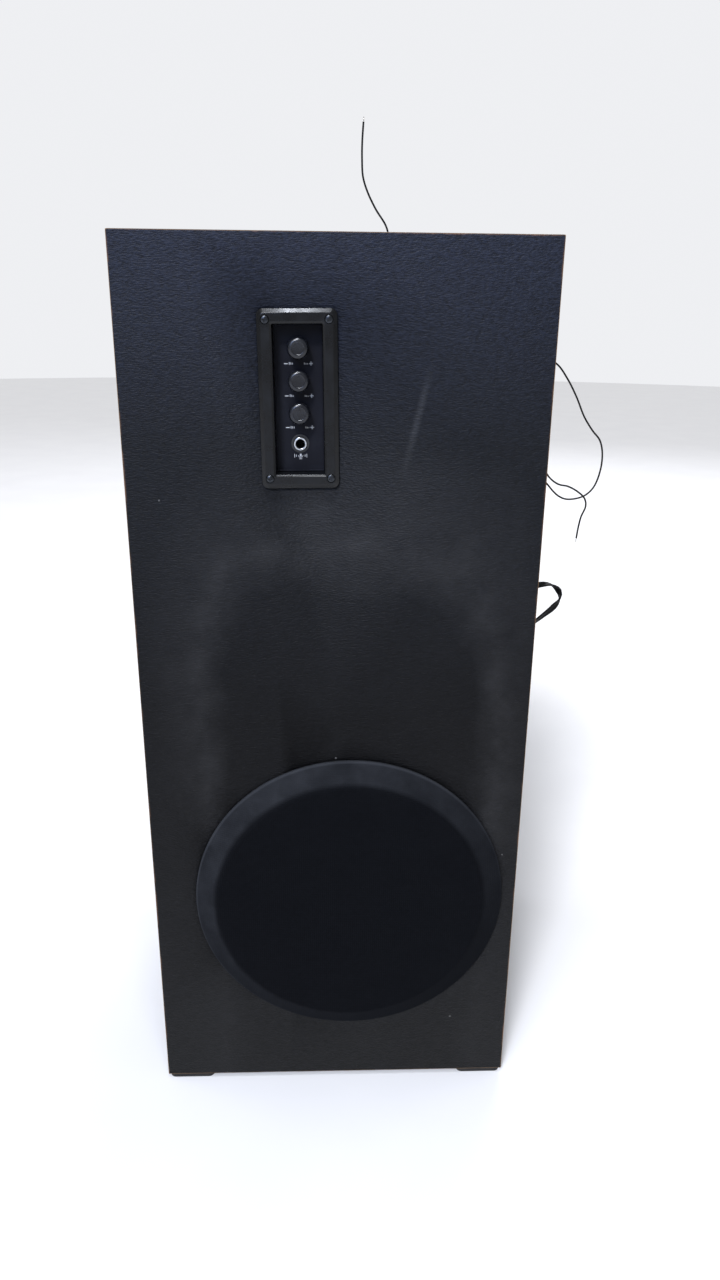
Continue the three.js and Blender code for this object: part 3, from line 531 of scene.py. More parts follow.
# Fibreboard, pressed and sawn: flat tan brown with fine darker fibres and no grain, fully matt.
fibreboard, place = new_material("sawn_fibreboard")
fibres = add_node(fibreboard, "TexNoise", {"Vector": place, **spots(1.43, 5.0, 0.7)})
patches = add_node(fibreboard, "TexNoise", {"Vector": place, **spots(71.4, 3.0)})
fine = add_node(fibreboard, "ValToRGB", {"Fac": fibres}, stops={0: "6b4f34", 0.5: "8f6f4c", 1: "a98a63"})
wide = add_node(fibreboard, "ValToRGB", {"Fac": patches}, stops={0: "8a8a8a", 1: "ffffff"})
colour = add_node(
    fibreboard, "Mix", {0: 0.5, 6: fine, 7: wide}, data_type="RGBA", blend_type="MULTIPLY",
).outputs[2]
bump = add_node(fibreboard, "Bump", {"Height": fibres, "Strength": 0.4, "Distance": 0.1 * mm})
shader = add_node(fibreboard, "BsdfPrincipled", {"Base Color": colour, "Roughness": 0.88, "Normal": bump})
add_node(fibreboard, "OutputMaterial", {"Surface": shader})


def finish_nodes(material, *names):
    """Gives CAD nodes a better material."""
    for name in names:
        for slot in frame["nodes"][name].material_slots:
            slot.material = material


finish_nodes(fibreboard, "left_panel", "right_panel", "top_panel", "bottom_panel", "front_baffle",
             "back_panel", "cross_brace")

# Covering: black embossed PVC film, 0.2 mm thick, glued round the carcass in one sheet and over the
# back in another. It is cut out behind the grille, the cup and the rear plate.

baffle_low, baffle_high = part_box("front_baffle")
back_low, back_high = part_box("back_panel")
front_y = baffle_low.y
film_rise = 0.25 * mm
film_thickness = 0.2 * mm
film_corner = 1.2 * mm
cup_tilt = -0.8  # degrees: the cup is screwed on slightly askew


def seat_of(node, face_y):
    """The middle of a CAD node's box, brought to the face that it sits on."""
    low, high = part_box(node)
    return Vector(((low.x + high.x) / 2, face_y, (low.z + high.z) / 2))


woofer_centre = seat_of("grille_cloth", front_y)
cup_centre = seat_of("control_cup", front_y)
plate_centre = seat_of("rear_plate", back_y)
grommet_centre = seat_of("wire_grommet", back_y)


def cut_window(shape, centre, sides, facing):
    """Cuts a window out of the face that points along Y: sides are [degrees, distance from the centre]."""
    walls = []
    for turn, distance in sides:
        normal = Vector((math.cos(math.radians(turn)), 0, math.sin(math.radians(turn))))
        walls.append((centre + normal * distance, normal))
    for point, normal in walls:
        faces = [face for face in shape.faces if face.normal.y * facing > 0.99]
        parts = {part for face in faces for part in [face, *face.edges, *face.verts]}
        bmesh.ops.bisect_plane(shape, geom=list(parts), dist=0.001 * mm, plane_co=point, plane_no=normal)
        shape.normal_update()
    inside = [
        face for face in shape.faces if face.normal.y * facing > 0.99
        and all((face.calc_center_median() - point).dot(normal) < 0 for point, normal in walls)
    ]
    bmesh.ops.delete(shape, geom=inside, context="FACES")


def film_cover(name, low, high, facing, windows, material):
    """A sheet of film over a box, open on the side that faces away, with rounded edges."""
    shape = bmesh.new()
    size = high - low
    bmesh.ops.create_cube(shape, size=1, matrix=Matrix.Translation((low + high) / 2) @ Matrix.Diagonal(
        (*size, 1)))
    open_y = low.y if facing > 0 else high.y
    rim = [edge for edge in shape.edges if all(abs(vert.co.y - open_y) < mm for vert in edge.verts)]
    rounded(shape, [edge for edge in shape.edges if edge not in rim], film_corner, 5)
    shape.normal_update()
    open_faces = [face for face in shape.faces if face.normal.y * facing < -0.99]
    bmesh.ops.delete(shape, geom=open_faces, context="FACES")
    for centre, sides in windows:
        cut_window(shape, centre, sides, facing)
    cover = add_piece(name, shape, material, sharp_angle=5)
    wall = cover.modifiers.new("film", "SOLIDIFY")
    wall.thickness = film_thickness
    wall.offset = -1
    return cover


# Embossed PVC film, calendered: charcoal black with a fine crosswise leather grain, a dull sheen,
# grey dust that lies in bands, a scuff, and brown board where the edges have worn through.
film, place = new_material("embossed_pvc_film")
axes = add_node(film, "SeparateXYZ", {"Vector": place})
grain_width = 6 * mm  # the real wrinkles are 1 to 3 mm apart, too fine to show from a metre away
crosswise = add_node(film, "Mapping", {"Vector": place, "Scale": (1, 1, 3.2)})
wrinkles = add_node(film, "TexNoise", {
    "Vector": crosswise, "Scale": 1 / grain_width, "Detail": 4.0, "Roughness": 0.62, "Distortion": 0.7,
})
pebbles = add_node(film, "TexVoronoi", {"Vector": crosswise, "Scale": 2.2 / grain_width, "Randomness": 1.0})
grain = add_node(film, "Mix", {0: 0.35, 2: wrinkles, 3: pebbles.outputs["Distance"]})
bump = add_node(film, "Bump", {"Height": grain, "Strength": 0.9, "Distance": 1.2 * mm})

on_front = add_node(film, "MapRange", {
    "Value": axes.outputs["Y"], "From Min": front_y, "From Max": front_y + 0.6 * mm, "To Min": 1.0,
    "To Max": 0.0,
})
clouds = add_node(film, "TexNoise", {"Vector": place, **spots(90.9, 5.0, 0.6)})
smears = add_node(film, "TexNoise", {"Vector": place, **spots(29.4, 6.0, 0.7)})

# The dust band: an arch over the grille, 236 mm wide, squarish and warped by the clouds.
arch_power = 4.6
arch = add_node(film, "Mapping", {
    "Vector": place, "Location": (13 * mm, 0, 300 * mm), "Scale": (118 * mm, 1, 202 * mm),
}, vector_type="TEXTURE")
arch_axes = add_node(film, "SeparateXYZ", {"Vector": arch})
arch_side = add_node(film, "Math", {0: arch_axes.outputs["X"]}, operation="ABSOLUTE")
arch_side = add_node(film, "Math", {0: arch_side, 1: arch_power}, operation="POWER")
arch_up = add_node(film, "Math", {0: arch_axes.outputs["Z"], 1: 0.0}, operation="MAXIMUM")
arch_up = add_node(film, "Math", {0: arch_up, 1: arch_power}, operation="POWER")
arch_sum = add_node(film, "Math", {0: arch_side, 1: arch_up}, operation="ADD")
arch_radius = add_node(film, "Math", {0: arch_sum, 1: 1 / arch_power}, operation="POWER")
warp = add_node(film, "MapRange", {"Value": clouds, "To Min": -0.2, "To Max": 0.2})
arch_radius = add_node(film, "Math", {0: arch_radius, 1: warp}, operation="ADD")
half_radius = add_node(film, "Math", {0: arch_radius, 1: 2.0}, operation="DIVIDE")
band = add_node(film, "ValToRGB", {"Fac": half_radius}, stops={
    0: "000000", 0.4: "0c0c0c", 0.485: "ffffff", 0.54: "c8c8c8", 0.68: "404040", 1: "303030",
})
band_fade = add_node(film, "MapRange", {
    "Value": axes.outputs["Z"], "From Min": 130 * mm, "From Max": 300 * mm, "To Min": 0.25, "To Max": 1.0,
})
smear_share = add_node(film, "MapRange", {"Value": smears, "From Min": 0.3, "From Max": 0.7, "To Min": 0.25})
for share in (band_fade, on_front, smear_share):
    band = add_node(film, "Math", {0: band, 1: share}, operation="MULTIPLY")

# The scuff right of the cup: a long thin oval, leaning right, strongest in its middle.
scuff = add_node(film, "Mapping", {
    "Vector": place, "Location": (57 * mm, 0, 592 * mm), "Rotation": (0, math.radians(13), 0),
    "Scale": (4 * mm, 1, 52 * mm),
}, vector_type="TEXTURE")
scuff_axes = add_node(film, "SeparateXYZ", {"Vector": scuff})
scuff_mark = smear_share
for way in "XZ":
    away = add_node(film, "Math", {0: scuff_axes.outputs[way]}, operation="ABSOLUTE")
    fade = add_node(film, "MapRange", {"Value": away, "To Min": 1.0, "To Max": 0.0},
                    interpolation_type="SMOOTHSTEP")
    scuff_mark = add_node(film, "Math", {0: scuff_mark, 1: fade}, operation="MULTIPLY")
scuff_mark = add_node(film, "Math", {0: scuff_mark, 1: on_front}, operation="MULTIPLY")

# Specks of paint and lint, under a millimetre across.
speck_cells = add_node(film, "TexVoronoi", {"Vector": place, "Scale": 1 / (38 * mm)})
speck_dots = add_node(film, "Math", {0: speck_cells.outputs["Distance"], 1: 0.026}, operation="LESS_THAN")
speck_pick = add_node(film, "SeparateColor", {"Color": speck_cells.outputs["Color"]})
speck_pick = add_node(film, "Math", {0: speck_pick.outputs[0], 1: 0.55}, operation="GREATER_THAN")
specks = add_node(film, "Math", {0: speck_dots, 1: speck_pick}, operation="MULTIPLY")

# Worn edges: where two of the cabinet's outer faces meet, broken up by the smears.
half_width = baffle_high.x
side_x = add_node(film, "Math", {0: axes.outputs["X"]}, operation="ABSOLUTE")
near_side = add_node(film, "MapRange", {
    "Value": side_x, "From Min": half_width - 1.5 * mm, "From Max": half_width - 0.2 * mm,
}, interpolation_type="SMOOTHSTEP")
near_top = add_node(film, "MapRange", {
    "Value": axes.outputs["Z"], "From Min": baffle_high.z - 1.4 * mm, "From Max": baffle_high.z - 0.1 * mm,
}, interpolation_type="SMOOTHSTEP")
near_front = add_node(film, "MapRange", {
    "Value": axes.outputs["Y"], "From Min": front_y - 0.1 * mm, "From Max": front_y + 0.8 * mm,
    "To Min": 1.0, "To Max": 0.0,
}, interpolation_type="SMOOTHSTEP")
outer = add_node(film, "Math", {0: near_side, 1: near_top}, operation="ADD")
worn = add_node(film, "Math", {0: outer, 1: near_front}, operation="MULTIPLY")
wear_pick = add_node(film, "MapRange", {"Value": smears, "From Min": 0.5, "From Max": 0.62})
worn = add_node(film, "Math", {0: worn, 1: wear_pick}, operation="MULTIPLY", use_clamp=True)

# The base is darkest at mid height and lighter again towards the bottom; towards the top it turns lighter
# and bluer, a painted sheen.
painted_sheen_by_height = add_node(film, "MapRange", {
    "Value": axes.outputs["Z"], "From Min": baffle_low.z, "From Max": baffle_high.z,
})
base = add_node(film, "ValToRGB", {"Fac": painted_sheen_by_height}, stops={
    0: "1a1a1a", 0.3: "101011", 0.5: "08080a", 0.8: "12151b", 1: "222735",
})
# The grain's hollows darken the base: painted shade that brings out the relief.
grain_hollow_shade = add_node(film, "ValToRGB", {"Fac": grain}, stops={0.3: "5c5c5c", 0.62: "ffffff"})
base = add_node(
    film, "Mix", {0: 0.85, 6: base, 7: grain_hollow_shade}, data_type="RGBA", blend_type="MULTIPLY",
).outputs[2]
haze = add_node(film, "MapRange", {"Value": clouds, "From Min": 0.35, "From Max": 0.75})
film_marks = (  # where, how strong, and the colour
    (haze, 0.007, "8b8d92"), (band, 0.05, "9a9a9c"), (scuff_mark, 0.055, "a9abb0"),
    (specks, 0.2, "b9b9b6"), (worn, 0.75, "6a4d3c"),
)
for where, strength, tone in film_marks:
    share = add_node(film, "Math", {0: where, 1: strength}, operation="MULTIPLY")
    base = add_node(film, "Mix", {0: share, 6: base, 7: linear(tone)}, data_type="RGBA").outputs[2]
gloss = add_node(film, "MapRange", {
    "Value": smears, "From Min": 0.3, "From Max": 0.7, "To Min": 0.48, "To Max": 0.55,
})
shader = add_node(film, "BsdfPrincipled", {
    "Base Color": base, "Roughness": gloss, "Normal": bump, "IOR": 1.5, "Specular IOR Level": 0.14,
})
add_node(film, "OutputMaterial", {"Surface": shader})

rise = Vector((film_rise, 0, film_rise))
octagon = [[turn * 45, 108 * mm] for turn in range(8)]
cup_window = [[turn - cup_tilt, reach] for turn, reach in zip(
    (0, 90, 180, 270), (22 * mm, 56 * mm, 22 * mm, 56 * mm))]
plate_window = [[turn, reach] for turn, reach in zip(
    (0, 90, 180, 270), (66 * mm, 91 * mm, 66 * mm, 91 * mm))]
grommet_window = [[turn * 45, 4.6 * mm] for turn in range(8)]
film_cover(
    "film_body_cover",
    Vector((baffle_low.x, front_y - film_rise, baffle_low.z)) - rise,
    Vector((baffle_high.x, back_low.y - 0.1 * mm, baffle_high.z)) + rise,
    -1, [(woofer_centre, octagon), (cup_centre, cup_window)], film,
)
film_cover(
    "film_back_cover",
    Vector((back_low.x, back_low.y + 0.1 * mm, back_low.z)) - rise,
    Vector((back_high.x, back_y + film_rise, back_high.z)) + rise,
    1, [(plate_centre, plate_window), (grommet_centre, grommet_window)], film,
)

# Pads: four low blocks of moulded black rubber, glued under the corners, with rounded corners and
# a moulded step round the bottom.

# Moulded rubber: dull near-black, greyed by floor dust, with a faint stipple from the mould.
rubber = mottled(
    "moulded_rubber", {0: "0d0d0d", 0.5: "141414", 1: "34332f"}, spots(14.3, 5.0), gloss=0.78,
    relief=(0.35, 0.1), grain=spots(0.667, 2.0),
)

for end in ("front", "back"):
    for side in ("left", "right"):
        low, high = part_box(f"foot_{end}_{side}")
        size = high - low
        pad_shape = box_of(*size, (low + high) / 2)
        upright = [e for e in pad_shape.edges if abs(e.verts[0].co.z - e.verts[1].co.z) > mm]
        rounded(pad_shape, upright, 5 * mm, 6)
        sole = [face for face in pad_shape.faces if face.normal.z < -0.9]
        rounded(pad_shape, [edge for face in sole for edge in face.edges], 0.9 * mm, 3)
        pad = add_piece(f"rubber_pad_{end}_{side}", pad_shape, rubber)
        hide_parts(f"foot_{end}_{side}")

# Grille: black stretch cloth pulled over a moulded ring with a wide bevel and glued behind it. Four
# pegs hold the ring in the baffle. The cloth sags a little over the opening and puckers at the rim.

# Polypropylene, moulded: near-black, satin, with a faint flow mottle.
ring_plastic = mottled(
    "moulded_polypropylene", {0: "101113", 1: "1c1d20"}, spots(6.25, 3.0), gloss=0.45, relief=(0.2, 0.1),
)
finish_nodes(ring_plastic, "grille_frame")

grille_radius = 129.5
grille_flat = 110
grille_height = 14
grille_edge = 3
cloth_thickness = 0.5
bevel_angle = math.atan2(grille_height - grille_edge, grille_radius - grille_flat)


def bend(centre, radius, start, end, steps):
    """Points on an arc, in mm and degrees, for a turned outline."""
    turns = [math.radians(start + (end - start) * i / steps) for i in range(steps + 1)]
    return [[centre[0] + radius * math.cos(turn), centre[1] + radius * math.sin(turn)] for turn in turns]


slope = math.degrees(bevel_angle)
crease = 5
tuck = 1.6
crease_r = grille_flat - crease * math.tan(bevel_angle / 2)
tuck_h = grille_edge - tuck * math.tan(math.radians(90 - slope) / 2)
cloth_outline = [[0, grille_height - 0.5], [30, grille_height - 0.46], [60, grille_height - 0.34],
                 [85, grille_height - 0.16], [100, grille_height - 0.04]]
cloth_outline += bend((crease_r, grille_height - crease), crease, 90, 90 - slope, 4)
cloth_outline += bend((grille_radius - tuck, tuck_h), tuck, 90 - slope, 0, 4)
cloth_outline += [[grille_radius, 0.3]]
cloth_shape = turned(cloth_outline, woofer_centre, steps=144)
bmesh.ops.remove_doubles(cloth_shape, verts=cloth_shape.verts, dist=0.002 * mm)
slope_edges = [
    edge for edge in cloth_shape.edges
    if abs(edge.verts[0].co.y - edge.verts[1].co.y) > 6 * mm
]
bmesh.ops.subdivide_edges(cloth_shape, edges=slope_edges, cuts=5, use_grid_fill=True)
for vert in cloth_shape.verts:  # puckers run across the bevel, deepest at the lower left
    out = vert.co - woofer_centre
    radius = math.hypot(out.x, out.z) / mm
    turn = math.atan2(out.z, out.x)
    lower_left = eased((-math.cos(turn - math.radians(40)) + 0.1) / 1.1)
    across = eased((radius - 105) / 12) * eased((grille_radius + 0.5 - radius) / 6)
    pucker = math.sin(turn * 41) * 0.1 + math.sin(turn * 17 + 1.3) * 0.12 + math.sin(turn * 67 + 0.4) * 0.05
    vert.co.y -= (pucker * (0.35 + 1.1 * lower_left) - 0.12) * across * mm

# Knitted polyester, dyed black: a blue-black matt surface with a fine rib, fuzzy at grazing angles,
# and greyish dust on the bevel, laid on its upper left side to paint the light that falls there, with a
# painted highlight on the rim.
cloth_look, place = new_material("knitted_polyester")
stitch = 1.7 * mm  # the real stitches are 0.8 mm apart, which is too fine to show
rows, columns = (add_node(cloth_look, "TexWave", {
    "Vector": place, "Scale": math.tau / stitch / 20, "Distortion": 0.6, "Detail": 1.0, "Detail Scale": 3.0,
}, bands_direction=way).outputs["Fac"] for way in "ZX")
knit = add_node(cloth_look, "Math", {0: rows, 1: columns}, operation="MULTIPLY")
fuzz = add_node(cloth_look, "TexNoise", {"Vector": place, **spots(3.85, 4.0, 0.7)})
lint = add_node(cloth_look, "TexNoise", {"Vector": place, **spots(26.3, 6.0, 0.65)})
relief = add_node(cloth_look, "Mix", {0: 0.45, 2: knit, 3: fuzz})
bump = add_node(cloth_look, "Bump", {"Height": relief, "Strength": 0.5, "Distance": 0.3 * mm})
thread = add_node(cloth_look, "ValToRGB", {"Fac": relief}, stops={0: "050608", 1: "111216"})
axes = add_node(cloth_look, "SeparateXYZ", {"Vector": place})
on_bevel = add_node(cloth_look, "MapRange", {
    "Value": axes.outputs["Y"], "From Min": front_y - (grille_height - 0.8) * mm,
    "From Max": front_y - (grille_height - 3) * mm, "To Min": 0.1, "To Max": 1.0,
})
facing = add_node(cloth_look, "TexCoord").outputs["Normal"]
# The bevel's faces that turn up and to the left, towards the main light, take more of the grey: dust, and
# painted light on the lit side.
facing_main_light = add_node(cloth_look, "VectorMath", {0: facing, 1: (-0.55, 0, 0.83)}, operation="DOT_PRODUCT")
dust_and_light_side = add_node(cloth_look, "MapRange", {
    "Value": facing_main_light.outputs["Value"], "From Min": -0.5, "From Max": 0.4,
})
dust_and_painted_light = add_node(cloth_look, "MapRange", {"Value": lint, "From Min": 0.35, "From Max": 0.75, "To Min": 0.45})
for share in (on_bevel, dust_and_light_side, 0.096):
    dust_and_painted_light = add_node(cloth_look, "Math", {0: dust_and_painted_light, 1: share}, operation="MULTIPLY")
from_middle = add_node(cloth_look, "Mapping", {"Vector": place, "Location": -woofer_centre})
from_middle = add_node(cloth_look, "Mapping", {"Vector": from_middle, "Scale": (1, 0, 1)})
out_at = add_node(cloth_look, "VectorMath", {0: from_middle}, operation="LENGTH").outputs["Value"]
rim = add_node(cloth_look, "MapRange", {
    "Value": out_at, "From Min": (grille_radius - 1.8) * mm, "From Max": (grille_radius - 0.6) * mm,
})
# The rim is lightened on its upper left, lit side: a painted highlight.
rim = add_node(cloth_look, "Math", {0: rim, 1: dust_and_light_side}, operation="MULTIPLY")
painted_rim_highlight = add_node(cloth_look, "Math", {0: rim, 1: 0.07}, operation="MULTIPLY")
dust_and_painted_light = add_node(cloth_look, "Math", {0: dust_and_painted_light, 1: painted_rim_highlight}, operation="ADD")
colour = add_node(cloth_look, "Mix", {0: dust_and_painted_light, 6: thread, 7: linear("7c8088")}, data_type="RGBA").outputs[2]
shader = add_node(cloth_look, "BsdfPrincipled", {
    "Base Color": colour, "Roughness": 0.85, "Normal": bump, "Specular IOR Level": 0.03,
    "Sheen Weight": 0.02, "Sheen Roughness": 0.45, "Sheen Tint": linear("aab2c4"),
})
add_node(cloth_look, "OutputMaterial", {"Surface": shader})

grille_cloth = add_piece("stretched_grille_cloth", cloth_shape, cloth_look, sharp_angle=60)
weight = grille_cloth.modifiers.new("cloth", "SOLIDIFY")
weight.thickness = cloth_thickness * mm
weight.offset = -1
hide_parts("grille_cloth")

# Woofer: an 8-inch driver. The pressed steel basket is screwed to the baffle from the front, with a
# foam gasket over its flange, and carries the cone on a rubber surround and a varnished cloth spider.

# Black electrophoretic paint on pressed steel: even satin black with a slight orange peel.
painted_steel = mottled(
    "painted_steel", {0: "131416", 0.55: "1a1b1d", 1: "2c2c2b"}, spots(38.5, 5.0),
    gloss={"To Min": 0.34, "To Max": 0.55}, relief=(0.3, 0.08), grain=spots(2.63, 2.0),
    sockets={"Coat Weight": 0.2, "Coat Roughness": 0.3},
)
finish_nodes(painted_steel, "woofer_basket", "transformer", "rear_plate")

# Zinc-plated steel, turned or pressed: cool pale grey with a faint bluish cloud and dull scratches.
zinc, place = new_material("zinc_plated_steel")
passivation = add_node(zinc, "TexNoise", {"Vector": place, **spots(8.33, 4.0)})
scratches = add_node(zinc, "TexNoise", {"Vector": place, **spots(1.25, 3.0, 0.7)})
colour = add_node(zinc, "ValToRGB", {"Fac": passivation}, stops={0: "8f959c", 0.5: "a9adaf", 1: "b5b3a8"})
gloss = add_node(zinc, "MapRange", {"Value": scratches, "To Min": 0.26, "To Max": 0.5})
shader = add_node(zinc, "BsdfPrincipled", {"Base Color": colour, "Metallic": 1.0, "Roughness": gloss})
add_node(zinc, "OutputMaterial", {"Surface": shader})
finish_nodes(zinc, "front_pole_plate", "pole_yoke", "wire_clip", *(
    f"{name}_{part}" for name in ("volume", "bass", "treble") for part in ("shaft", "pot")))

# Sintered ferrite, ground on its faces: dull blue-grey black with fine pits.
ferrite = mottled(
    "sintered_ferrite", {0: "1c1c1e", 1: "3a3a3d"}, spots(1.54, 5.0), gloss=0.66, relief=(0.5, 0.15),
)
finish_nodes(ferrite, "magnet_ring")

# Felted paper, pressed wet and dyed: matt black with pale fibres standing in it.
cone_paper = mottled(
    "felted_cone_paper", {0: "101010", 0.6: "1c1b1a", 1: "4a4743"}, spots(2.38, 7.0, 0.75), gloss=0.9,
    relief=(0.5, 0.2),
)

# Phenolic-dipped cotton, woven and hot-pressed: amber brown, slightly glossy over the threads.
spider_look, place = new_material("phenolic_dipped_cotton")
thread_pitch = 1 * mm
warp_threads, weft_threads = (add_node(spider_look, "TexWave", {
    "Vector": place, "Scale": math.tau / thread_pitch / 20,
}, bands_direction=way).outputs["Fac"] for way in "XZ")
weave = add_node(spider_look, "Math", {0: warp_threads, 1: weft_threads}, operation="MULTIPLY")
colour = add_node(spider_look, "ValToRGB", {"Fac": weave}, stops={0: "7c5a22", 1: "b98f46"})
bump = add_node(spider_look, "Bump", {"Height": weave, "Strength": 0.5, "Distance": 0.2 * mm})
shader = add_node(spider_look, "BsdfPrincipled", {"Base Color": colour, "Roughness": 0.55, "Normal": bump})
add_node(spider_look, "OutputMaterial", {"Surface": shader})
finish_nodes(spider_look, "voice_coil", "spider")


def wall_outline(front, thickness):
    """A closed outline for a thin turned wall: its front line, and the same line set back."""
    return [*front, *([r, h - thickness] for r, h in reversed(front)), front[0]]


paper_thickness = 0.8
cone_front = []
for step in range(25):
    share = step / 24
    stiffening_rib = 0.35 * math.cos(share * math.tau * 3) * math.sin(math.pi * share)
    cone_front.append([14 + 62 * share, -35.2 + 37.1 * share ** 0.94 + stiffening_rib])
cone_front += [[78, 1.9], [80, 1.9]]
cone_wall = turned(wall_outline(cone_front, paper_thickness), woofer_centre, steps=96)
cone = add_piece("paper_cone", cone_wall, cone_paper, "cone")
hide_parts("woofer_cone")
cap_low, cap_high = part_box("dust_cap")
cap_base = (front_y - cap_high.y) / mm
cap_rise = (cap_high.y - cap_low.y) / mm
cap_radius = 22
cap_edge = paper_thickness


def dome(radius, rise, turns):
    """Points on a flat dome's outline at some degrees above its edge."""
    turns = [math.radians(turn) for turn in turns]
    return [[radius * math.cos(turn), cap_base + rise * math.sin(turn)] for turn in turns]


cap_front = [*dome(cap_radius, cap_rise, range(0, 90, 9)), [0, cap_base + cap_rise]]
cap_back = [
    [0, cap_base + cap_rise - cap_edge],
    *dome(cap_radius - cap_edge, cap_rise - cap_edge, range(81, -9, -9)),
]
cap_wall = turned([*cap_front, *cap_back, cap_front[0]], woofer_centre)
cap = add_piece("domed_dust_cap", cap_wall, cone_paper, "cone")
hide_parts("dust_cap")

surround_back = 2.2
roll_radius = 5.5
roll_centre = 80 + 0.6 + roll_radius
surround_front = [[76, surround_back + paper_thickness]]
surround_front += bend((roll_centre, surround_back), roll_radius, 172, 8, 12)
surround_front += [[95, surround_back + paper_thickness]]
surround_rear = [[95, surround_back]]
surround_rear += bend((roll_centre, surround_back), roll_radius - paper_thickness, 0, 180, 12)
surround_rear += [[76, surround_back]]
surround_wall = turned([*surround_front, *surround_rear, surround_front[0]], woofer_centre, steps=96)
surround = add_piece("rolled_surround", surround_wall, rubber)
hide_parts("woofer_surround")
finish_nodes(rubber, "woofer_gasket")


def cross_cutter(shape, place, reach, width, depth, forward, turn):
    """Adds the solid that cuts a cross slot: reach and width in mm, from forward back by depth."""
    a, b = width / 2 * mm, reach * mm
    corners = [(a, a), (a, b), (-a, b), (-a, a), (-b, a), (-b, -a), (-a, -a), (-a, -b), (a, -b), (a, -a),
               (b, -a), (b, a)]
    spun = place @ Matrix.Rotation(math.radians(turn), 4, "Y")
    verts = [shape.verts.new(spun @ Vector((x, -forward * mm, z))) for x, z in corners]
    face = shape.faces.new(verts)
    made = bmesh.ops.extrude_face_region(shape, geom=[face])["geom"]
    inward = spun.to_3x3() @ Vector((0, depth * mm, 0))
    bmesh.ops.translate(shape, vec=inward, verts=of_kind(made, bmesh.types.BMVert))
    return shape


def drill(piece, cutter, sharp_angle=32):
    """Takes the solids of a bmesh out of a piece for good."""
    tool = new_object("cutter", cutter, piece.active_material)
    hole = piece.modifiers.new("holes", "BOOLEAN")
    hole.object = tool
    whole = piece.data
    graph = bpy.context.evaluated_depsgraph_get()
    piece.data = bpy.data.meshes.new_from_object(piece.evaluated_get(graph))
    piece.modifiers.clear()
    bpy.data.objects.remove(tool)
    bpy.data.meshes.remove(whole)
    piece.data.name = piece.name
    piece.data.shade_smooth()
    piece.data.set_sharp_from_angle(angle=math.radians(sharp_angle))
    return piece


woofer_screw = [[0, -10], [0.6, -10], [1.9, -7.5], [1.9, 2.2], [3.2, 2.2], [3.3, 2.5], [3.25, 3.2],
                [2.9, 3.8], [2.2, 4.2], [1.2, 4.4], [0, 4.45]]
for i in range(4):
    seat = seat_of(f"woofer_screw_{i + 1}", front_y)
    screw = add_piece(f"pan_head_screw_{i + 1}", turned(woofer_screw, seat, steps=32), zinc)
    drill(screw, cross_cutter(bmesh.new(), Matrix.Translation(seat), 1.9, 0.8, 1.8, 4.8, 20 + 31 * i))
    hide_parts(f"woofer_screw_{i + 1}")

# Control cup: a one-piece moulding in black ABS, a bevelled flange round a deep well, sunk into the
# baffle and held by four countersunk screws in its corners.

cup_place = Matrix.Translation(cup_centre) @ Matrix.Rotation(math.radians(cup_tilt), 4, "Y")
fascia_front = -10.7


def lofted(rings, place, closed=False, capped=True, corner_steps=6):
    """Rounded rectangles [width, height, corner, forward], in mm, each drawn out from the one before."""
    shape = bmesh.new()
    segments = 4 * corner_steps
    spoke_at = {}
    half_step = Matrix.Rotation(math.pi / segments, 4, "Z")
    bmesh.ops.create_circle(shape, segments=segments, radius=1, matrix=half_step)
    verts = list(shape.verts)
    edges = list(shape.edges)
    first = edges
    spokes = {vert: vert.co.copy() for vert in verts}
    for number, (width, height, corner, forward) in enumerate([*rings, *rings[:1]] if closed else rings):
        if number:
            made = bmesh.ops.extrude_edge_only(shape, edges=edges)["geom"]
            verts = of_kind(made, bmesh.types.BMVert)
            edges = [edge for edge in of_kind(made, bmesh.types.BMEdge) if edge.is_boundary]
            spokes = {vert: spoke_at[tuple(vert.co)] for vert in verts}
        for vert, spoke in spokes.items():
            x = spoke.x * corner + math.copysign(width / 2 - corner, spoke.x)
            z = spoke.y * corner + math.copysign(height / 2 - corner, spoke.y)
            vert.co = place @ (Vector((x, -forward, z)) * mm)
        spoke_at = {tuple(vert.co): spoke for vert, spoke in spokes.items()}
    if capped and not closed:
        bmesh.ops.contextual_create(shape, geom=first)
        bmesh.ops.contextual_create(shape, geom=edges)
    return shape


def moulded_plastic(name, deep, worn, roughness, shine=0.5, texture=1.11):
    """A moulded plastic: two tones that mix in soft patches, the tool's texture in mm, and rub marks."""
    return mottled(
        name, {0: deep, 0.5: deep, 1: worn}, spots(15.4, 5.0, 0.65),
        gloss={"From Min": 0.3, "From Max": 0.7, "To Min": roughness - 0.07, "To Max": roughness + 0.09},
        relief=(0.1, 0.06), grain=spots(texture, 2.0), sockets={"IOR": 1.53, "Specular IOR Level": shine},
    )


# ABS, injection-moulded in a fine-textured tool: deep black with a semi-gloss that lights its bevels.
abs_plastic = moulded_plastic("moulded_abs", "08090b", "15171b", 0.28, shine=0.3)
finish_nodes(abs_plastic, "mic_jack_body")

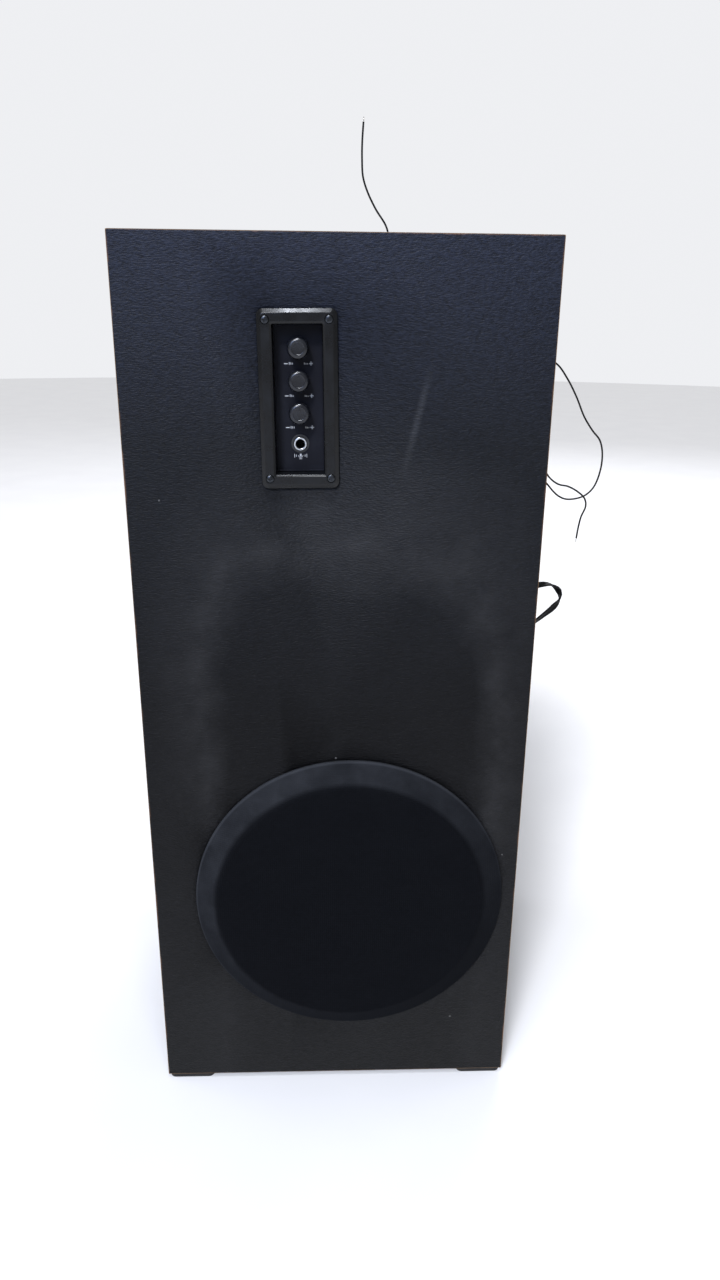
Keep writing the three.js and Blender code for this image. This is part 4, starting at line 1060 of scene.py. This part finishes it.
cup_shape = lofted([
    [37.9, 105.2, 1.5, 0.3], [55.6, 122.6, 5, 0.3], [55.6, 122.6, 5, 1.4], [55.5, 122.5, 4.95, 1.8],
    [55.1, 122.1, 4.75, 2.16], [54.8, 121.8, 4.6, 2.27], [50.7, 117.7, 2.6, 3.79], [50.4, 117.4, 2.5, 3.9],
    [49.9, 116.9, 2.25, 4.12], [49.3, 116.3, 2, 4.26], [48.6, 115.6, 1.7, 4.3], [48, 115, 1.6, 4.3],
    [38.4, 105.7, 1.9, 4.3], [37.9, 105.2, 1.7, 4.3], [37.6, 104.9, 1.6, 4.22], [35.4, 102.7, 1, 3.4],
    [35.1, 102.4, 0.9, 3.25], [34.8, 102.1, 0.8, 2.9], [34.7, 102, 0.8, 2.4], [34.5, 101.8, 0.7, -12.5],
    [29.7, 97, 0.5, -12.5], [29.7, 97, 0.5, -14.1], [37.9, 105.2, 1.5, -14.1],
], cup_place, closed=True)
cup = add_piece("moulded_control_cup", cup_shape, abs_plastic)
screw_seats = [seat_of(f"cup_screw_{i + 1}", front_y) for i in range(4)]
screw_hole = [[0, -2], [1.6, -2], [1.6, 2.3], [3.1, 3.8], [3.1, 6], [0, 6]]
holes = bmesh.new()
for seat in screw_seats:
    add_to(holes, turned(screw_hole, seat, steps=32))
drill(cup, holes)
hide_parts("control_cup")

# Chromed steel: a bright, slightly blue mirror, dulled a little in its slots and hollows.
chrome = mottled(
    "chromed_steel", {0: "b6bac0", 1: "dfe2e6"}, spots(1.43, 3.0), gloss={"To Min": 0.1, "To Max": 0.28},
    sockets={"Metallic": 1.0},
)

# Nickel plate over steel, its grey darkened far below that of bright nickel: painted shade, a dark
# reflection painted into the metal, in soft patches.
shade_darkened_nickel = mottled(
    "nickel_plate_darkened_as_shade", {0: "1c1d20", 1: "54575b"}, spots(2, 4.0),
    gloss={"To Min": 0.22, "To Max": 0.42}, sockets={"Metallic": 1.0},
)

cup_screw_head = [[0, -9], [0.5, -9], [1.3, -7], [1.3, 2.3], [2.7, 3.65], [2.8, 3.9], [2.6, 4.2], [2, 4.5],
                  [1.1, 4.7], [0, 4.75]]
for i, seat in enumerate(screw_seats):
    screw = add_piece(
        f"countersunk_screw_{i + 1}", turned(cup_screw_head, seat, steps=32), shade_darkened_nickel,
    )
    drill(screw, cross_cutter(bmesh.new(), Matrix.Translation(seat), 1.75, 0.75, 1.7, 5.2, 12 + 27 * i))
    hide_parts(f"cup_screw_{i + 1}")

# Fascia: a thin satin plate of printed ABS at the bottom of the well, with a raised rim. White ink
# marks less and more at each control, and a microphone sign marks the socket.

satin_plastic = moulded_plastic("satin_abs", "1a1b21", "24262d", 0.4, shine=0.06, texture=2)
knob_names = ("volume", "bass", "treble")
joint_places = {joint["name"]: Vector(joint["pos_m"]) for joint in frame["joints"] if "pos_m" in joint}
knob_seats = {}
for name in knob_names:
    hinge = joint_places[f"{name}_turn"]
    knob_seats[name] = Vector((hinge.x, front_y, hinge.z))
jack_centre = seat_of("mic_jack_ring", front_y)


def height_in_cup(seat):
    """How far a place is above the cup's middle, in mm."""
    return (cup_place.inverted() @ seat).z / mm



fascia = add_piece("printed_fascia", lofted([
    [34.1, 101.4, 0.6, -12.2], [34.1, 101.4, 0.6, -10.3], [33.8, 101.1, 0.5, -10.05],
    [32.9, 100.2, 0.45, -10.05], [32.4, 99.7, 0.4, -10.5], [32.2, 99.5, 0.4, fascia_front],
], cup_place), satin_plastic)
holes = bmesh.new()
for radius, seat in [*((4.9, seat) for seat in knob_seats.values()), (5.1, jack_centre)]:
    add_to(holes, turned([[0, -16], [radius, -16], [radius, -8], [0, -8]], seat, steps=32))
drill(fascia, holes)
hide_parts("control_fascia")

# Screen-printed epoxy ink: flat greyish white, thin enough to show pinholes.
ink = mottled(
    "screen_printed_ink", {0: "7d8084", 0.45: "b4b7bb", 1: "c6c9cc"}, spots(0.556, 2.0), gloss=0.5,
)

ink_thickness = 0.06


def ink_bar(shape, place, x, z, width, height, turn=0):
    """A printed bar on the face at y = 0 of a place, in mm."""
    centre = Vector((x * mm, -ink_thickness / 2 * mm, z * mm))
    spun = place @ Matrix.Translation(centre) @ Matrix.Rotation(math.radians(turn), 4, "Y")
    add_to(shape, box_of(width * mm, ink_thickness * mm, height * mm, (0, 0, 0), matrix=spun))


marks = bmesh.new()
on_fascia = cup_place @ Matrix.Translation((0, -(fascia_front + 0.02) * mm, 0))
for name in knob_names:
    mark_z = height_in_cup(knob_seats[name]) - 10.6
    ink_bar(marks, on_fascia, -8.8, mark_z, 2.6, 0.6)
    ink_bar(marks, on_fascia, 8.8, mark_z, 2.6, 0.6)
    ink_bar(marks, on_fascia, 8.8, mark_z, 0.6, 2.6)
    for i in range(3):
        for side in (-1, 1):
            rise = 0.8 + 0.45 * (2 + (i - 2) * side) / 2
            ink_bar(marks, on_fascia, side * (6.4 - 1.1 * i), mark_z + (rise - 1.3) / 2, 0.5, rise)
sign_z = height_in_cup(jack_centre) - 9.2
ink_bar(marks, on_fascia, 0, sign_z + 0.9, 1.3, 2)
ink_bar(marks, on_fascia, 0, sign_z - 1.2, 0.4, 1)
ink_bar(marks, on_fascia, 0, sign_z - 1.75, 2, 0.4)
for i in range(5):
    turn = math.radians(200 + 35 * i)
    ink_bar(marks, on_fascia, 1.6 * math.cos(turn), sign_z + 0.8 + 1.5 * math.sin(turn), 1, 0.35,
            turn=-200 - 35 * i + 90)
for side in (-1, 1):
    ink_bar(marks, on_fascia, side * 3.2, sign_z + 0.5, 0.4, 1.6)
    ink_bar(marks, on_fascia, side * 4.4, sign_z + 0.5, 0.4, 2.6)
add_piece("fascia_marks", marks, ink)

# Knobs: three push-on knobs moulded in glossy black ABS, a straight skirt with a sloped shoulder and
# a slightly dished face, and a low moulded rib that shows where each one points.

knob_plastic = moulded_plastic("polished_abs", "0f1116", "1d2027", 0.24, texture=3.33)
knob_front = 2.1
knob_back = -9.9
knob_outline = [[0, knob_front - 0.35], [2.5, knob_front - 0.32], [4.1, knob_front - 0.28],
                [4.35, knob_front - 0.06], [4.6, knob_front]]
knob_outline += bend((4.7, knob_front - 2.8), 2.8, 90, 0, 8)
knob_outline += [[7.5, -9.5], [7.35, knob_back], [3.3, knob_back], [3.3, -0.6], [0, -0.6]]
for name, seat in knob_seats.items():
    knob_shape = turned(knob_outline, seat, steps=72)
    rib_place = cup_place.copy()
    rib_place.translation = seat
    add_to(knob_shape, box_of(0.7 * mm, 0.5 * mm, 2.4 * mm, (0, -(knob_front - 0.25) * mm, 2.8 * mm),
                              bevel=0.15 * mm, segments=2, matrix=rib_place))
    knob = add_piece(f"{name}_control_knob", knob_shape, knob_plastic, f"{name}_control")
    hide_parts(f"{name}_knob")

# Microphone socket: a quarter-inch jack with a chromed ring nut over a thin dark washer.

jack_ring = add_piece("jack_ring_nut", turned(
    [[3.2, -14.1], [4.8, -14.1], [4.8, -9.3]] + bend((4.3, -9.2), 0.5, 0, 90, 4)
    + [[3.7, -8.7]] + bend((3.7, -9.1), 0.4, 90, 180, 3) + [[3.2, -9.4], [3.2, -14.1]],
    jack_centre), chrome)
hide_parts("mic_jack_ring")
add_piece("jack_washer", turned(
    [[4.95, -10.65], [6.5, -10.65], [6.6, -10.5], [6.6, -10.3], [6.4, -10.15], [5.1, -10.15], [4.95, -10.3],
     [4.95, -10.65]], jack_centre), painted_steel)

# Rear plate: 1.5 mm steel sheet, punched and painted, over the cut-out in the back. Eight pan-head
# screws hold it, and ten more hold the back panel to the carcass.

rear_turn = Matrix.Rotation(math.pi, 4, "Z")


def screw_row(name, places, head, reach, face):
    """A group of like pan-head screws seen from behind, with cross slots."""
    heads = bmesh.new()
    slots = bmesh.new()
    for i, (x, z) in enumerate(places):
        seat = Vector((x, back_y, z))
        outline = [[0, -8], [1.4, -8], [1.4, face], [head, face], [head, face + 0.6],
                   [head * 0.85, face + 1.3], [head * 0.5, face + 1.7], [0, face + 1.8]]
        add_to(heads, turned(outline, seat, 1, steps=24))
        cross_cutter(slots, Matrix.Translation(seat) @ rear_turn, reach, 0.8, 1.6, face + 2.2, 17 * i)
    screws = add_piece(name, heads, zinc)
    return drill(screws, slots)


plate_low, plate_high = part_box("rear_plate")
plate_half = (plate_high - plate_low) / 2
plate_top = (plate_high.y - back_y) / mm
plate_screw_places = [
    (plate_centre.x + side * (plate_half.x - 5.5 * mm), plate_centre.z + up * (plate_half.z - 5.5 * mm))
    for side in (-1, 1) for up in (-1, 0, 1)
] + [(plate_centre.x, plate_centre.z + up * (plate_half.z - 5.5 * mm)) for up in (-1, 1)]
screw_row("rear_plate_screws", plate_screw_places, 2.9, 1.8, plate_top + 0.05)
edge_inset = 6 * mm
lowest, highest = back_low.z + edge_inset, back_high.z - edge_inset
back_screw_places = [
    (side * (half_width - edge_inset), lowest + share * (highest - lowest))
    for side in (-1, 1) for share in (0.02, 0.33, 0.67, 0.98)
] + [(0, lowest), (0, highest)]
screw_row("back_panel_screws", back_screw_places, 3.4, 2, film_rise / mm + 0.05)

# Line sockets: a pair of phono sockets on one black moulding, nickel-plated shells round a white and
# a red insulator.

socket_centre = seat_of("line_input_sockets", back_y)
socket_pitch = 14 * mm
barrel_end = (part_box("line_input_sockets")[1].y - back_y) / mm
socket_base = add_piece("socket_moulding", lofted([
    [30, 14, 1, -10], [30, 14, 1, -0.2], [25.5, 11.2, 1, -0.2], [25.5, 11.2, 1, plate_top + 0.05],
    [29.5, 13.5, 1.6, plate_top + 0.05], [29.5, 13.5, 1.6, plate_top + 0.7], [29, 13, 1.4, plate_top + 0.95],
], Matrix.Translation(socket_centre) @ rear_turn), abs_plastic)
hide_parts("line_input_sockets")
shells = bmesh.new()
insulator_red = moulded_plastic("red_polyethylene", "7e1512", "962a22", 0.4)
insulator_white = moulded_plastic("white_polyethylene", "c9c8c1", "d8d7d0", 0.4)
for side, look, name in ((-1, insulator_white, "white"), (1, insulator_red, "red")):
    seat = socket_centre + Vector((side * socket_pitch / 2, 0, 0))
    add_to(shells, turned([
        [3.5, plate_top + 0.9], [5, plate_top + 0.9], [5, plate_top + 1.6], [4.15, plate_top + 1.9],
        [4.15, barrel_end - 0.5], [3.8, barrel_end], [3.6, barrel_end], [3.5, barrel_end - 0.3],
        [3.5, plate_top + 0.9],
    ], seat, 1, steps=40))
    add_piece(f"{name}_socket_insulator", turned([
        [1.7, plate_top + 1], [3.4, plate_top + 1], [3.4, barrel_end - 1], [3.1, barrel_end - 0.7],
        [2, barrel_end - 0.7], [1.7, barrel_end - 1], [1.7, plate_top + 1],
    ], seat, 1, steps=32), look)
add_piece("socket_shells", shells, pin_nickel)

# Power switch: a snap-in rocker switch, a polished frame round a satin paddle with the usual bar and
# ring in white.

switch_place = Matrix.Translation(seat_of("rocker_frame", back_y)) @ rear_turn
bezel_front = (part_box("rocker_frame")[1].y - back_y) / mm
switch_frame = add_piece("switch_frame", lofted([
    [13, 19, 0.6, bezel_front - 12], [13, 19, 0.6, plate_top + 0.3], [16, 22, 1, plate_top + 0.3],
    [16, 22, 1, bezel_front - 0.8], [15.6, 21.6, 0.9, bezel_front - 0.3], [15, 21, 0.8, bezel_front],
    [11.6, 17.6, 0.4, bezel_front], [11.1, 17.1, 0.3, bezel_front - 0.2], [11, 17, 0.3, bezel_front - 0.6],
    [11, 17, 0.3, bezel_front - 10], [1, 1, 0.3, bezel_front - 10],
], switch_place), abs_plastic)
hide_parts("rocker_frame")

paddle_tilt = 7  # degrees at rest
paddle_place = Matrix.Translation(joint_places["rocker_press"]) @ Matrix.Rotation(
    math.radians(paddle_tilt), 4, "X")
paddle_width = 10.4
paddle_side = [(-7.3, 3.6), (-3.6, 2.85), (0, 2.4), (3.6, 2.85), (7.3, 3.6), (7.3, -1.2), (2, -4), (-2, -4),
               (-7.3, -1.2)]
paddle_shape = bmesh.new()
corners = [paddle_place @ (Vector((-paddle_width / 2, out, up)) * mm) for up, out in paddle_side]
side_face = paddle_shape.faces.new([paddle_shape.verts.new(corner) for corner in corners])
made = bmesh.ops.extrude_face_region(paddle_shape, geom=[side_face])["geom"]
bmesh.ops.translate(paddle_shape, vec=(paddle_width * mm, 0, 0), verts=of_kind(made, bmesh.types.BMVert))
bmesh.ops.recalc_face_normals(paddle_shape, faces=paddle_shape.faces)
rounded(paddle_shape, [edge for edge in paddle_shape.edges if edge.calc_face_angle(0) > 0.6], 0.35 * mm, 3)
paddle = add_piece("rocker_paddle", paddle_shape, satin_plastic, "rocker")
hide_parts("power_rocker")
paddle_marks = bmesh.new()
face_rise = 1.2 / 7.3  # of each half of the face, from its middle to its end
face_slope = math.degrees(math.atan(face_rise))
for up, turn in ((4.4, 1), (-4.4, -1)):
    out = 2.4 + abs(up) * face_rise + 0.12
    on_paddle = paddle_place @ Matrix.Translation((0, out * mm, up * mm)) @ Matrix.Rotation(
        math.radians(-turn * face_slope), 4, "X") @ rear_turn
    if turn > 0:
        ink_bar(paddle_marks, on_paddle, 0, 0, 0.6, 3.2)
    else:
        for i in range(16):
            spoke = math.tau * i / 16
            ink_bar(paddle_marks, on_paddle, 1.4 * math.cos(spoke), 1.4 * math.sin(spoke), 0.7, 0.45,
                    turn=90 - math.degrees(spoke))
add_piece("rocker_marks", paddle_marks, ink, "rocker")

# Grommet: a soft rubber ring snapped into a hole in the back, which the two aerial wires leave by.

grommet_outline = [[0, -11], [6, -11], [6.3, -10.6], [6, -9.4], [4.2, -9.3], [4.2, 0.3], [6.6, 0.3]]
grommet_outline += bend((5.6, 1.1), 1.4, -25, 90, 6)
grommet_outline += [[3, 2.4], [2.4, 1.9], [0, 1.9]]
grommet = add_piece("rubber_grommet", turned(grommet_outline, grommet_centre, 1), rubber)
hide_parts("wire_grommet")

# Amplifier and tone control: green glass-epoxy boards with tinned pads, the parts standing on them,
# and an extruded aluminium heatsink with eight fins. The mains transformer is screwed to the bottom.

# Glass-epoxy laminate under green solder mask: glossy green with darker tracks.
laminate, place = new_material("solder_masked_laminate")
tracks = add_node(laminate, "TexBrick", {
    "Vector": add_node(laminate, "Mapping", {"Vector": place, "Rotation": (math.pi / 2, 0, 0)}),
    "Scale": 90.0, "Mortar Size": 0.06, "Color1": linear("2c6a3a"), "Color2": linear("256033"),
    "Mortar": linear("17441f"),
})
shader = add_node(laminate, "BsdfPrincipled", {"Base Color": tracks, "Roughness": 0.35})
add_node(laminate, "OutputMaterial", {"Surface": shader})
finish_nodes(laminate, "tone_board", "amplifier_board")

# Extruded aluminium, left as drawn: pale grey with fine die lines along the fins.
aluminium, place = new_material("extruded_aluminium")
die_lines = add_node(aluminium, "TexNoise", {
    "Vector": add_node(aluminium, "Mapping", {"Vector": place, "Scale": (1, 1, 0.02)}), "Scale": 1400.0,
    "Detail": 2.0,
})
colour = add_node(aluminium, "ValToRGB", {"Fac": die_lines}, stops={0: "9b9da0", 1: "c3c5c7"})
gloss = add_node(aluminium, "MapRange", {"Value": die_lines, "To Min": 0.3, "To Max": 0.5})
shader = add_node(aluminium, "BsdfPrincipled", {"Base Color": colour, "Metallic": 1.0, "Roughness": gloss})
add_node(aluminium, "OutputMaterial", {"Surface": shader})
finish_nodes(aluminium, "heatsink")
